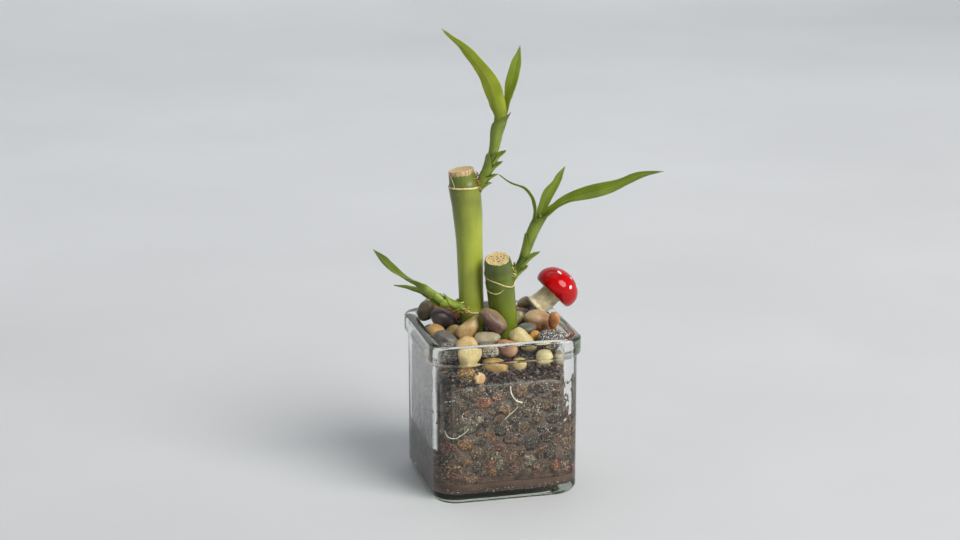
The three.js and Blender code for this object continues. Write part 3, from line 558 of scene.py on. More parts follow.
def finished(
    mesh: BMesh, name: str, materials: Iterable[Material], replaces: Sequence[str] = (), smooth: bool = True,
    staged: bool = False,
) -> Object:
    """Makes a bmesh in millimetres a piece in metres that rides on the frame.

    Args:
        mesh: The finished bmesh, which is freed.
        name: The piece's name.
        materials: Its material slots.
        replaces: CAD nodes that it stands for.
        smooth: Whether its faces are shaded smooth.
        staged: Whether it belongs to the studio and not to the part.

    Returns:
        The new object.
    """
    bmesh.ops.scale(mesh, vec=(MM, MM, MM), verts=mesh.verts)
    for face in mesh.faces:
        face.smooth = smooth
    data = bpy.data.meshes.new(name)
    mesh.to_mesh(data)
    mesh.free()
    for material in materials:
        data.materials.append(material)
    piece = bpy.data.objects.new(name, data)
    bpy.context.scene.collection.objects.link(piece)
    if staged:
        return piece
    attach(piece, BODY)
    if replaces:
        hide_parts(*replaces)
    log.info("%s: %d faces", name, len(data.polygons))
    return piece


def subdivided(piece: Object) -> None:
    """Adds a subdivision surface of one level, in view and in render."""
    modifier = piece.modifiers.new("smooth", "SUBSURF")
    modifier.levels = modifier.render_levels = 1


def merged_copy(node: str) -> BMesh:
    """Copies a CAD node's mesh.

    Args:
        node: The CAD node's name.

    Returns:
        A closed bmesh in millimetres.
    """
    mesh = bmesh.new()
    mesh.from_mesh(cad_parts[node].data)
    bmesh.ops.scale(mesh, vec=(1 / MM, 1 / MM, 1 / MM), verts=mesh.verts)
    bmesh.ops.remove_doubles(mesh, verts=mesh.verts, dist=0.01)
    for layer in list(mesh.loops.layers.uv.values()):
        mesh.loops.layers.uv.remove(layer)
    return mesh


def any_way(rng: random.Random, spread: float = 1.0) -> Vector:
    """Draws a vector that may point anywhere."""
    return Vector([rng.gauss(0, spread) for _ in range(3)])


def middle_of(mesh: BMesh) -> Vector:
    """The average place of a mesh's vertices."""
    return sum((v.co for v in mesh.verts), Vector()) / len(mesh.verts)


def smoothstep(value: float, low: float, high: float) -> float:
    """A smooth rise from 0 at `low` to 1 at `high`."""
    t = min(1.0, max(0.0, (value - low) / (high - low)))
    return t * t * (3 - 2 * t)


def read_stations(stations: Sequence[tuple[float, ...]], place: float, column: int = 1) -> float:
    """Reads a value between stations, with smooth steps.

    Args:
        stations: Rows that start with their place, in rising order.
        place: Where to read.
        column: Which value to read.

    Returns:
        The value there.
    """
    if place <= stations[0][0]:
        return stations[0][column]
    for low, high in zip(stations, stations[1:]):
        if place <= high[0]:
            return low[column] + (high[column] - low[column]) * smoothstep(place, low[0], high[0])
    return stations[-1][column]


def spun(profile: Pairs, steps: int) -> BMesh:
    """Turns a profile about Z.

    Args:
        profile: Points of (radius, height) from the lower pole to the upper one.
        steps: Facets round the axis.

    Returns:
        A closed bmesh whose faces point outwards.
    """
    mesh = bmesh.new()
    verts = [mesh.verts.new((radius, 0.0, height)) for radius, height in profile]
    edges = [mesh.edges.new(pair) for pair in zip(verts, verts[1:])]
    bmesh.ops.spin(
        mesh, geom=verts + edges, cent=(0, 0, 0), axis=(0, 0, 1), dvec=(0, 0, 0), angle=2 * pi,
        steps=steps, use_merge=True,
    )
    bmesh.ops.remove_doubles(mesh, verts=mesh.verts, dist=1e-4)
    bmesh.ops.recalc_face_normals(mesh, faces=mesh.faces)
    return mesh


def absorb(heap: BMesh, part: BMesh) -> None:
    """Adds a part to a heap and frees the part."""
    data = bpy.data.meshes.new("part")
    part.to_mesh(data)
    part.free()
    heap.from_mesh(data)
    bpy.data.meshes.remove(data)


class Axis:
    """A smooth curve through a few points, read by the share of its length."""

    SAMPLES = 400

    def __init__(self, points: Sequence[Point]) -> None:
        """Lays the curve through the points, in millimetres."""
        knots = [Vector(p) for p in points]
        line = [self._at(knots, i / self.SAMPLES) for i in range(self.SAMPLES + 1)]
        run = [0.0]
        for before, after in zip(line, line[1:]):
            run.append(run[-1] + (after - before).length)
        self.length = run[-1]
        self._line = []
        step = 0
        for i in range(self.SAMPLES + 1):
            goal = self.length * i / self.SAMPLES
            while step < self.SAMPLES - 1 and run[step + 1] < goal:
                step += 1
            share = (goal - run[step]) / (run[step + 1] - run[step])
            self._line.append(line[step].lerp(line[step + 1], share))

    @staticmethod
    def _at(knots: list[Vector], t: float) -> Vector:
        """A point on the centripetal Catmull-Rom curve through the knots."""
        last = len(knots) - 1
        i = min(int(t * last), last - 1)
        w = t * last - i
        b, c = knots[i], knots[i + 1]
        a = knots[i - 1] if i > 0 else 2 * b - c
        d = knots[i + 2] if i + 2 <= last else 2 * c - b
        ab, bc, cd = (max(sqrt((q - p).length), 1e-4) for p, q in ((a, b), (b, c), (c, d)))
        leave = ((b - a) / ab - (c - a) / (ab + bc) + (c - b) / bc) * bc
        reach = ((c - b) / bc - (d - b) / (bc + cd) + (d - c) / cd) * bc
        return (
            b + leave * w + (3 * (c - b) - 2 * leave - reach) * w**2 + (2 * (b - c) + leave + reach) * w**3
        )

    def at(self, share: float) -> Vector:
        """The point at a share of the length, past the ends along the tangents."""
        if share < 0 or share > 1:
            end = min(1.0, max(0.0, share))
            return self.at(end) + self.tangent(end) * (share - end) * self.length
        place = share * self.SAMPLES
        i = min(int(place), self.SAMPLES - 1)
        return self._line[i].lerp(self._line[i + 1], place - i)

    def tangent(self, share: float) -> Vector:
        """The direction at a share of the length."""
        ends = [min(1.0, max(0.0, share + d)) for d in (-0.006, 0.006)]
        return (self.at(ends[1]) - self.at(ends[0])).normalized()

    def carry(self, point: Vector, side: Vector = BACKWARDS) -> Vector:
        """Carries a point of a shape that stands along +Z onto the curve."""
        share = min(1.0, max(0.0, point.z / self.length))
        along = self.tangent(share)
        across = (side - along * side.dot(along)).normalized()
        third = along.cross(across)
        foot = self.at(share) + along * (point.z - share * self.length)
        return foot + across * point.x + third * point.y

    def tube(self, radii: Sequence[float], sides: int, past: float = 0.0, side: Vector = BACKWARDS) -> BMesh:
        """Makes a closed strand along the curve.

        Args:
            radii: Its radii at even steps of the curve.
            sides: Its facets round.
            past: How far its tip reaches past the curve's end.
            side: The way that its first facet faces.

        Returns:
            The strand.
        """
        heights = [self.length * i / (len(radii) - 1) for i in range(len(radii))]
        mesh = spun([(0.0, 0.0), *zip(radii, heights), (0.0, self.length + past)], sides)
        for vert in mesh.verts:
            vert.co = self.carry(vert.co, side)
        return mesh


# ---------------- the jar


@dataclass
class SquareJar:
    """The pressed-glass jar: square with rounded corners, a thick base and a proud rim band."""

    height: float = 85.0
    rim_half: float = 40.0
    body_half: float = 38.0
    inner_half: float = 34.0
    rim_height: float = 10.0
    base: float = 4.6
    corner: float = 10.4
    inner_corner: float = 9.4  # the plunger that pressed the inside was rounder than the mould
    least: float = 4.0
    foot_round: float = 5.0
    steps: int = 96  # facets round the jar, a quarter of them in each corner region

    def corner_of(self, half: float) -> float:
        """The corner radius of a section: it shrinks with the section, as offset outlines do."""
        if half >= self.body_half:
            return self.corner + half - self.body_half
        if half <= self.inner_half:
            return min(half, max(self.inner_corner - (self.inner_half - half), self.least))
        share = (half - self.inner_half) / (self.body_half - self.inner_half)
        return self.inner_corner + (self.corner - self.inner_corner) * share

    def on_square(self, half: float, angle: float) -> tuple[float, float]:
        """Finds the point of a rounded square that stands for an angle of a circle.

        Args:
            half: Half the square's width.
            angle: The circle's angle in radians.

        Returns:
            x and y. Half of each quarter turn runs round a corner, half along a side.
        """
        quarter = floor(angle / (pi / 2) + 0.5)
        part = angle / (pi / 2) + 0.5 - quarter  # 0 to 1 across one side, from corner to corner
        radius = self.corner_of(half)
        flat = half - radius
        if part < 0.25:
            bend = radians(-45 + part * 4 * 45)
            x, y = flat + radius * cos(bend), -flat + radius * sin(bend)
        elif part > 0.75:
            bend = radians((part - 0.75) * 4 * 45)
            x, y = flat + radius * cos(bend), flat + radius * sin(bend)
        else:
            x, y = half, -flat + 2 * flat * (part - 0.25) * 2
        turn = quarter * pi / 2
        return x * cos(turn) - y * sin(turn), x * sin(turn) + y * cos(turn)

    def arc(self, half: float, height: float, radius: float, start: float, end: float, steps: int) -> Pairs:
        """Points of (half width, height) on an arc of the section, between two angles in degrees."""
        angles = [radians(start + (end - start) * i / steps) for i in range(steps + 1)]
        return [(half + radius * cos(a), height + radius * sin(a)) for a in angles]

    def squared(self, profile: Pairs) -> BMesh:
        """Turns a profile of (half width, height) round a rounded square."""
        mesh = spun(profile, self.steps)
        for vert in mesh.verts:
            half = hypot(vert.co.x, vert.co.y)
            if half > 1e-3:
                x, y = self.on_square(half, atan2(vert.co.y, vert.co.x))
                vert.co = (x, y, vert.co.z)
        return mesh

    def hold(self, place: Vector, skin: float) -> None:
        """Presses a point that pokes out back to the inner wall.

        Args:
            place: The point, which is changed. Points above the rim are left.
            skin: How far past the wall it may reach, in millimetres.
        """
        if place.z > self.height:
            return
        reach = self.inner_half + skin
        corner = self.corner_of(reach)
        flat = reach - corner
        place.x = min(reach, max(-reach, place.x))
        place.y = min(reach, max(-reach, place.y))
        over = Vector((abs(place.x) - flat, abs(place.y) - flat))
        if min(over) > 0 and over.length > corner:
            place.x = copysign(flat + over.x * corner / over.length, place.x)
            place.y = copysign(flat + over.y * corner / over.length, place.y)

    def build(self, glass: Material) -> Object:
        """Builds the jar: outside from the base up, over the rim, and down the inside to the floor."""
        shoulder = self.height - self.rim_height
        crest, lip = 1.5, 1.5
        profile = [
            (0.0, 0.6),
            (20.0, 0.6),  # the base is dished a little, so it stands on its edge
            (28.0, 0.3), (30.5, 0.0),
            *self.arc(self.body_half - self.foot_round, self.foot_round, self.foot_round, -90, 0, 9),
            (self.body_half, 20.0), (self.body_half, 45.0), (self.body_half, shoulder - 1.5),
            (self.body_half + 0.15, shoulder - 0.3),
            *self.arc(self.rim_half - 1.6, shoulder + 2.0, 1.6, -62, 0, 5),
            (self.rim_half, self.height - crest - 1.5),
            *self.arc(self.rim_half - crest, self.height - crest - 0.2, crest, 0, 84, 8),
            (self.rim_half - 2.3, self.height - 0.05), (self.rim_half - 3.0, self.height),
            (self.inner_half + 2.3, self.height - 0.05),
            *self.arc(self.inner_half + lip, self.height - lip - 0.2, lip, 96, 180, 8),
            (self.inner_half, self.height - 5.0), (self.inner_half, shoulder - 2.0), (self.inner_half, 45.0),
            (self.inner_half, 20.0),
            *self.arc(self.inner_half - 4.0, self.base + 4.0, 4.0, 0, -90, 7),
            (16.0, self.base + 0.1), (0.0, self.base + 0.2),
        ]
        mesh = self.squared(profile)
        return finished(mesh, "glass_jar", [glass], ["jar"])


# ---------------- the fill


@dataclass
class Fill:
    """The silt, the bed of granules in its wet grit, and the loose chips among the pebbles.

    Where the wet fill touches the glass there is no air between them, so it shows out to the jar's edge. It
    touches nearly everywhere below the water line, but not in two corners and along the left side.
    """

    jar: SquareJar
    seed: int = 11
    silt_top: float = 14.0
    water_line: float = 63.4  # on the front side
    wall_top: float = 70.0
    skin: float = 0.05  # how far what touches the glass reaches into it, mm
    masters: int = 14
    pocket: float = 1.9  # depth of the air pockets
    drained_gap: float = 2.2  # how far the drained fill stands off the glass
    core_gap: float = 4.2  # what the dark middle leaves for the granules
    drained_lumps: int = 420  # tries on each side
    chips: int = 1500
    rng: random.Random = field(init=False)

    # the widths of granules, large ones first, and how often each is tried on a side
    WIDTHS = ((9.0, 240), (6.6, 360), (4.4, 600), (2.8, 900))

    # lumps that can be told apart on the front side: x, height, width, tallness in mm, and tone
    LANDMARKS = (
        (-12.5, 54.1, 8.5, 6.5, 0.65), (-5.4, 55.8, 7.0, 5.5, 0.69), (-14.9, 45.2, 5.5, 4.5, 0.98),
        (-5.4, 44.4, 7.0, 4.5, 0.5), (-10.1, 36.6, 7.0, 3.4, 0.74), (7.6, 38.9, 9.4, 9.0, 0.34),
        (-22.5, 32.0, 10.0, 7.6, 0.72), (-29.0, 30.8, 5.4, 4.4, 0.56), (-4.8, 29.2, 7.0, 4.6, 0.56),
        (12.9, 30.6, 11.0, 9.4, 0.06), (20.6, 32.9, 8.0, 7.4, 0.1), (2.3, 23.1, 5.4, 8.0, 0.44),
        (-9.5, 20.6, 4.2, 8.2, 0.66), (-26.1, 19.1, 10.5, 4.2, 0.82), (-16.6, 19.4, 7.0, 7.4, 0.08),
        (-4.2, 19.5, 5.4, 7.4, 0.94), (2.9, 16.7, 6.6, 5.0, 0.5), (16.4, 17.0, 7.4, 6.4, 0.88),
        (25.3, 17.0, 5.0, 7.4, 0.66), (-28.4, 15.7, 8.4, 3.4, 0.58), (-8.4, 15.6, 5.4, 5.4, 0.7),
        (-28.6, 55.0, 7.6, 6.6, 0.4), (-29.0, 45.4, 8.4, 7.4, 0.68), (30.0, 47.1, 5.6, 6.6, 0.52),
        (30.6, 35.0, 6.4, 8.4, 0.36), (30.0, 28.4, 6.6, 6.4, 0.4),
    )

    # x, height and number of the clusters of painted glints on the front side
    GLEAMING = (
        (10.1, 49.1, 14), (-1.2, 39.1, 12), (-15.1, 46.7, 18), (16.7, 48.6, 13), (5.1, 65.2, 8),
        (-29.0, 56.0, 10), (28.3, 45.8, 8), (-23.0, 46.6, 14), (29.5, 16.0, 8), (-4.0, 56.0, 14),
        (22.0, 60.0, 9), (-12.0, 60.0, 10), (4.0, 45.0, 7), (24.0, 38.0, 6),
    )

    def __post_init__(self) -> None:
        """Seeds the draw."""
        self.rng = random.Random(self.seed)

    def recess(self, place: Vector) -> float:
        """How far the wet fill stands back from the glass at a place on the wall, in millimetres.

        Args:
            place: A point on or near the inner wall.

        Returns:
            0 where it touches the glass, and up to about 2 mm in an air pocket.
        """
        x, y, z = place
        patch = noise(Vector((x / 6, y / 6, z / 7 + 3)))
        above = smoothstep(z, self.water_line - 0.5, self.water_line + 0.6)
        if y < -24:
            crest = self.water_line - 0.14 * max(0.0, -12 - x) + 0.5 * patch
            above = smoothstep(z, crest - 0.3, crest + 0.5)
        low = 38 + 5.0 * smoothstep(x, -31.5, -28.0) + 2.0 * patch
        edge = 28.4 + 1.6 * patch
        front_left = smoothstep(-x, edge, edge + 1) * smoothstep(z, low, low + 1) * (y < 0)
        left = smoothstep(-x, 32.6, 33.4) * smoothstep(z + 3 * patch, 28, 32) * smoothstep(y, -33, -30)
        narrow = 31.4 - 1.8 * smoothstep(z, 54, 58) + 1.2 * patch
        front_right = smoothstep(x, narrow, narrow + 0.5) * smoothstep(z, 43, 45) * (y < 0)
        elsewhere = (y > 20 or (x > 33 and y > -28)) * smoothstep(patch + (z - 50) / 60, 0.08, 0.2)
        crumbs = noise(Vector((x / 1.6, y / 1.6, z / 2.6))) > 0.36
        if crumbs and (front_left > 0.5 or front_right > 0.5) and above < 0.5:
            return 0.0
        dry = max(front_left, left, front_right, elsewhere)
        return max(self.pocket * dry, self.drained_gap * above)

    def silt(self, finish: Material) -> None:
        """The silt, pressed against the glass, its top in slow drifts that cover the lowest granules."""
        half = self.jar.inner_half + self.skin
        low = self.jar.base - 0.06
        profile = [
            (0.0, low), (half - 4.6, low),
            *self.jar.arc(half - 4.0, low + 4.0, 4.0, -60, 0, 4),
            (half, 11.0), (half, 12.5), (half, self.silt_top), (half - 2.0, self.silt_top + 0.4),
            (20.0, self.silt_top), (0.0, self.silt_top),
        ]
        mesh = self.jar.squared(profile)
        for vert in mesh.verts:
            share = smoothstep(vert.co.z, 9.5, self.silt_top)
            drift = noise(Vector((vert.co.x / 9, vert.co.y / 9, 3.1)))
            vert.co.z += share * (3.4 * drift - 1.0)
        finished(mesh, "silt_layer", [finish], ["silt"])

    def core(self, finish: Material) -> BVHTree:
        """The dark middle of the bed, which the granules hide: painted shade where it shows between them.

        Args:
            finish: The granules' material.

        Returns:
            A tree of its surface in millimetres, on which chips are laid.
        """
        mesh = merged_copy("bed")
        inner = 1 - self.core_gap / self.jar.inner_half
        for vert in mesh.verts:
            vert.co.x *= inner
            vert.co.y *= inner
            vert.co.z -= 0.6 if vert.co.z > self.wall_top - 4 else 0.0
        tone = mesh.verts.layers.float.new("tone")
        # the darkest tone: painted shade deep in the bed
        for vert in mesh.verts:
            vert[tone] = 0.02
        surface = BVHTree.FromBMesh(mesh)
        finished(mesh, "bed_core", [finish], ["bed"])
        return surface

    def grit(self, finish: Material) -> None:
        """The wet grit between the granules: it fills the wall zone up to the water line."""
        fine = replace(self.jar, steps=336)
        half = self.jar.inner_half + self.skin
        top = self.water_line + 1.2
        rows = int((top - 10.5) / 0.85)
        profile = [(0.0, 10.0), (half - 8.0, 10.0), (half - 1.0, 10.0)]
        profile += [(half, 10.5 + (top - 10.5) * row / rows) for row in range(rows + 1)]
        profile += [(half - 1.6, top), (half - 3.4, top - 0.4), (half - 8.0, top - 2.0), (0.0, top - 2.0)]
        mesh = fine.squared(profile)
        for vert in mesh.verts:
            reach = max(abs(vert.co.x), abs(vert.co.y), hypot(vert.co.x, vert.co.y) * 0.76)
            if reach < half - 0.6:
                continue
            back = self.recess(vert.co)
            rough = 0.5 + 0.5 * noise(vert.co / 1.9)
            if back > 0.02:
                back += 0.9 * rough
            elif rough > 0.62 and 26 < vert.co.z < self.water_line - 1:
                back = 0.3
            shrink = 1 - back / self.jar.inner_half
            vert.co.x *= shrink
            vert.co.y *= shrink
        finished(mesh, "wet_grit", [finish])

    def round_masters(self) -> list[Mesh]:
        """A few worn porous lumps, about one unit across."""
        masters = []
        for index in range(self.masters):
            mesh = bmesh.new()
            bmesh.ops.create_icosphere(mesh, subdivisions=2, radius=0.5)
            shift = Vector((index * 5.3, 1.7, 0.4))
            for vert in mesh.verts:
                slow = noise(vert.co * 2.4 + shift)
                quick = noise(vert.co * 6.5 + shift)
                vert.co *= 1 + 0.26 * slow + 0.13 * quick
            masters.append(self.kept(mesh))
        return masters

    def broken_masters(self) -> list[Mesh]:
        """A few broken lumps, each the hull of scattered points, about one unit across."""
        masters = []
        for _ in range(self.masters):
            mesh = bmesh.new()
            for _ in range(13):
                out = any_way(self.rng).normalized()
                reach = self.rng.uniform(0.4, 0.54)
                mesh.verts.new(Vector((out.x, out.y * 0.86, out.z * 0.74)) * reach)
            hull = bmesh.ops.convex_hull(mesh, input=mesh.verts)
            loose = [g for g in hull["geom_interior"] if isinstance(g, BMVert)]
            bmesh.ops.delete(mesh, geom=loose, context="VERTS")
            bmesh.ops.recalc_face_normals(mesh, faces=mesh.faces)
            masters.append(self.kept(mesh))
        return masters

    def kept(self, mesh: BMesh) -> Mesh:
        """Keeps a lump as a mesh with a colour number, and frees the bmesh."""
        mesh.verts.layers.float.new("tone")
        data = bpy.data.meshes.new("master")
        mesh.to_mesh(data)
        mesh.free()
        return data

    def add_lump(self, heap: BMesh, master: Mesh, matrix: Matrix, tone: float) -> None:
        """Adds one lump to a heap, with its own colour number."""
        copy = master.copy()
        copy.transform(matrix)
        for value in copy.attributes["tone"].data:
            value.value = tone
        heap.from_mesh(copy)
        bpy.data.meshes.remove(copy)

    def draw_tone(self) -> float:
        """Draws a lump's colour number: mostly grey and brown, now and then a bright one."""
        if self.rng.random() < 0.2:
            return self.rng.uniform(0.5, 1.0)
        return self.rng.uniform(0.0, 0.5)

    def wall(self, along: float) -> float:
        """How far out the inner wall lies at a place along one side."""
        corner = self.jar.corner_of(self.jar.inner_half)
        flat = self.jar.inner_half - corner
        return flat + sqrt(max(0.0, corner**2 - max(0.0, abs(along) - flat) ** 2))

    def set_lump(
        self, heap: BMesh, masters: list[Mesh], side: int, along: float, height: float, size: Point,
        tone: float, sunk: float = 0.14,
    ) -> None:
        """Sets a lump against one side, its outer part cut off by the glass.

        Args:
            heap: The bmesh that takes it.
            masters: The lumps to draw from.
            side: Quarter turns from the right side.
            along: Its place along the side, in millimetres.
            height: Its height.
            size: Its depth, width and tallness.
            tone: Its colour number.
            sunk: How far its middle lies behind the wall, as a share of its depth.
        """
        out = self.wall(along) - sunk * size[0]
        turn = Matrix.Rotation(side * pi / 2, 4, "Z")
        spin = Matrix.Rotation(self.rng.uniform(-0.6, 0.6), 4, "X")
        matrix = turn @ Matrix.Translation((out, along, height)) @ spin @ Matrix.Diagonal((*size, 1))
        self.add_lump(heap, self.rng.choice(masters), matrix, tone)

    def against_glass(self, masters: list[Mesh], finish: Material) -> None:
        """The lumps in the wet fill that show through the four sides, large ones first."""
        reach = self.jar.inner_half
        for side, name in enumerate(("right", "back", "left", "front")):
            heap = bmesh.new()
            taken = []
            if name == "front":
                for along, height, wide, tall, tone in self.LANDMARKS:
                    self.set_lump(heap, masters, side, along, height, (0.7 * wide, wide, tall), tone)
                    taken.append((along, height, (wide + tall) / 4))
            for across, tries in self.WIDTHS:
                for _ in range(tries):
                    along = self.rng.uniform(-reach + 2, reach - 2)
                    height = self.rng.uniform(self.silt_top - 0.5, self.water_line - 0.3 * across)
                    wide = across * self.rng.uniform(0.85, 1.2)
                    near = (hypot(along - x, height - z) < 0.78 * (wide / 2 + r) for x, z, r in taken)
                    if any(near):
                        continue
                    taken.append((along, height, wide / 2))
                    size = (0.8 * wide, wide, wide * self.rng.uniform(0.7, 1.1))
                    self.set_lump(heap, masters, side, along, height, size, self.draw_tone())
            self.keep_inside(heap, 0.14)
            finished(heap, f"granules_{name}", [finish])

    def above_water(self, masters: list[Mesh], finish: Material) -> None:
        """The drained granules between the water line and the pebbles, clear of the glass."""
        reach = self.jar.inner_half
        heap = bmesh.new()
        for side in range(4):
            for _ in range(self.drained_lumps):
                along = self.rng.uniform(-reach + 1, reach - 1)
                height = self.rng.uniform(self.water_line - 2.5, self.wall_top - 0.6)
                wide = self.rng.choice((1.6, 2.2, 2.8, 3.4, 4.6))
                look = (0.9 * wide, wide, 0.8 * wide), self.draw_tone(), self.rng.uniform(0.5, 0.9)
                self.set_lump(heap, masters, side, along, height, *look)
        self.keep_inside(heap, -0.25)
        finished(heap, "drained_granules", [finish], smooth=False)

    def keep_inside(self, heap: BMesh, skin: float) -> None:
        """Presses every point of a heap that pokes out back to the wall, or to the back of an air pocket."""
        for vert in heap.verts:
            back = self.recess(vert.co) if skin > 0 else 0.0
            self.jar.hold(vert.co, -back if back > 0.02 else skin)

    def chips_on_top(self, masters: list[Mesh], surface: BVHTree, finish: Material) -> None:
        """Chips and crumbs over the bed's top, which show between the pebbles."""
        heap = bmesh.new()
        for _ in range(self.chips):
            x, y = (self.rng.uniform(-32.5, 32.5) for _ in range(2))
            hit, normal, _, _ = surface.ray_cast(Vector((x * 0.87, y * 0.87, 120)), Vector((0, 0, -1)))
            if hit is None or normal.z < 0.2:
                continue
            across = self.rng.uniform(1.4, 3.6)
            place = Matrix.Translation((x, y, hit.z + 0.1 * across))
            spin = Matrix.Rotation(self.rng.uniform(0, 6.28), 4, any_way(self.rng))
            matrix = place @ spin @ Matrix.Scale(across, 4)
            self.add_lump(heap, self.rng.choice(masters), matrix, self.draw_tone())
        self.keep_inside(heap, -0.1)
        finished(heap, "chips_on_top", [finish], smooth=False)

    def bubbles(self, finish: Material) -> None:
        """Tiny bubbles caught between the fill and the glass, each a white bead: painted glints."""
        heap = bmesh.new()
        for side, count in ((3, 230), (2, 60), (0, 60), (1, 60)):
            turn = Matrix.Rotation(side * pi / 2, 4, "Z")
            for _ in range(count):
                along = self.rng.uniform(-31, 31)
                height = self.rng.triangular(8, self.water_line, 52)
                if side == 3 and self.rng.random() < 0.3:
                    height = self.rng.uniform(5.4, 8.0)
                out = self.wall(along)
                matrix = turn @ Matrix.Translation((out + 0.1, along, height))
                size = self.rng.choice((0.1, 0.13, 0.16, 0.22))
                bmesh.ops.create_icosphere(heap, subdivisions=1, radius=size, matrix=matrix)
        for x, z in self.gleams():
            matrix = Matrix.Translation((x, -self.wall(x) - 0.1, z))
            matrix = matrix @ Matrix.Rotation(self.rng.uniform(0, 3.1), 4, "Y")
            long = Matrix.Diagonal((self.rng.uniform(1.0, 2.6), 1.0, 1.0, 1.0))
            size = self.rng.choice((0.1, 0.12, 0.15, 0.22))
            bmesh.ops.create_icosphere(heap, subdivisions=1, radius=size, matrix=matrix @ long)
        finished(heap, "caught_bubbles", [finish])

    def gleams(self) -> Pairs:
        """Places on the front side, x and height, where the wet granules catch the light."""
        spots = []
        for x, z, count in self.GLEAMING:
            spots += [(x + self.rng.gauss(0, 2.0), z + self.rng.gauss(0, 1.7)) for _ in range(count)]
        return spots

    def banded_chip(self) -> None:
        """The one cream and orange banded stone that lies low against the front glass."""
        mesh = bmesh.new()
        bmesh.ops.create_icosphere(mesh, subdivisions=4, radius=1.0)
        for vert in mesh.verts:
            square = max(abs(vert.co.x), abs(vert.co.z))
            vert.co *= 1 + 0.16 * (1 - square) + 0.07 * noise(vert.co * 1.3 + Vector((0, 4, 0)))
            vert.co = Vector((-14.6 + 3.4 * vert.co.x, -31.2 + 2.8 * vert.co.y, 66.6 + 3.7 * vert.co.z))
            self.jar.hold(vert.co, -0.2)
        stone = RiverStone("banded_chip", "#c9a070", "#a8683c", "#e6cfa0", Pattern.BANDED, 0.45, 80)
        finished(mesh, "stone_banded_chip", [stone.material()])

    def strands(self, name: str, ways: Sequence[Pairs], thicks: Sequence[float], finish: Material) -> None:
        """Lays fine strands on the front glass.

        Args:
            name: The piece's name.
            ways: For each strand, its points of (x, height).
            thicks: Each strand's radius in millimetres.
            finish: Their material.
        """
        front = -self.jar.inner_half - 0.12
        heap = bmesh.new()
        for way, thick in zip(ways, thicks):
            absorb(heap, Axis([(x, front, z) for x, z in way]).tube([thick] * 21, 8))
        finished(heap, name, [finish])

    def build(self) -> None:
        """Builds the whole fill."""
        wet = LavaGranules("wet_lava_and_bark_granules", WET_TONES, 0.45, 0.2).material()
        drained = LavaGranules("drained_lava_granules", DARK_TONES, 0.3, 0.25).material()
        self.silt(WetSilt().material())
        surface = self.core(drained)
        self.grit(WetGrit().material())
        rounded = self.round_masters()
        broken = self.broken_masters()
        self.against_glass(rounded, wet)
        self.above_water(broken, drained)
        self.chips_on_top(broken, surface, drained)
        self.banded_chip()
        # painted glints: white beads and lines that stand for light caught on the wet fill
        painted_glint = PlainSpeckle("bubble_painted_glint", "#f6f6f2", "#e2e4e0", 0.2, 1.0).material()
        self.bubbles(painted_glint)
        # the bright line along the air pocket's edge: a painted highlight
        edge = [(-32.6, 40.4), (-31.6, 37.6), (-29.5, 36.2), (-26.6, 36.4), (-23.7, 38.0), (-20.6, 40.6)]
        self.strands("air_pocket_edge", [edge], [0.13], painted_glint)
        thick = [(1.1, 61.8), (1.2, 59.4), (2.0, 56.8), (4.0, 53.9), (7.3, 52.4)]
        fine = [(-1.9, 44.0), (0.6, 46.4), (3.0, 48.2), (5.2, 50.6)]
        white = PlainSpeckle("white_rootlet", "#efece0", "#d8d4c4", 0.45, 2.0).material()
        self.strands("pressed_rootlets", [thick, fine], [0.34, 0.16], white)
        for master in rounded + broken:
            bpy.data.meshes.remove(master)


# ---------------- the pebbles


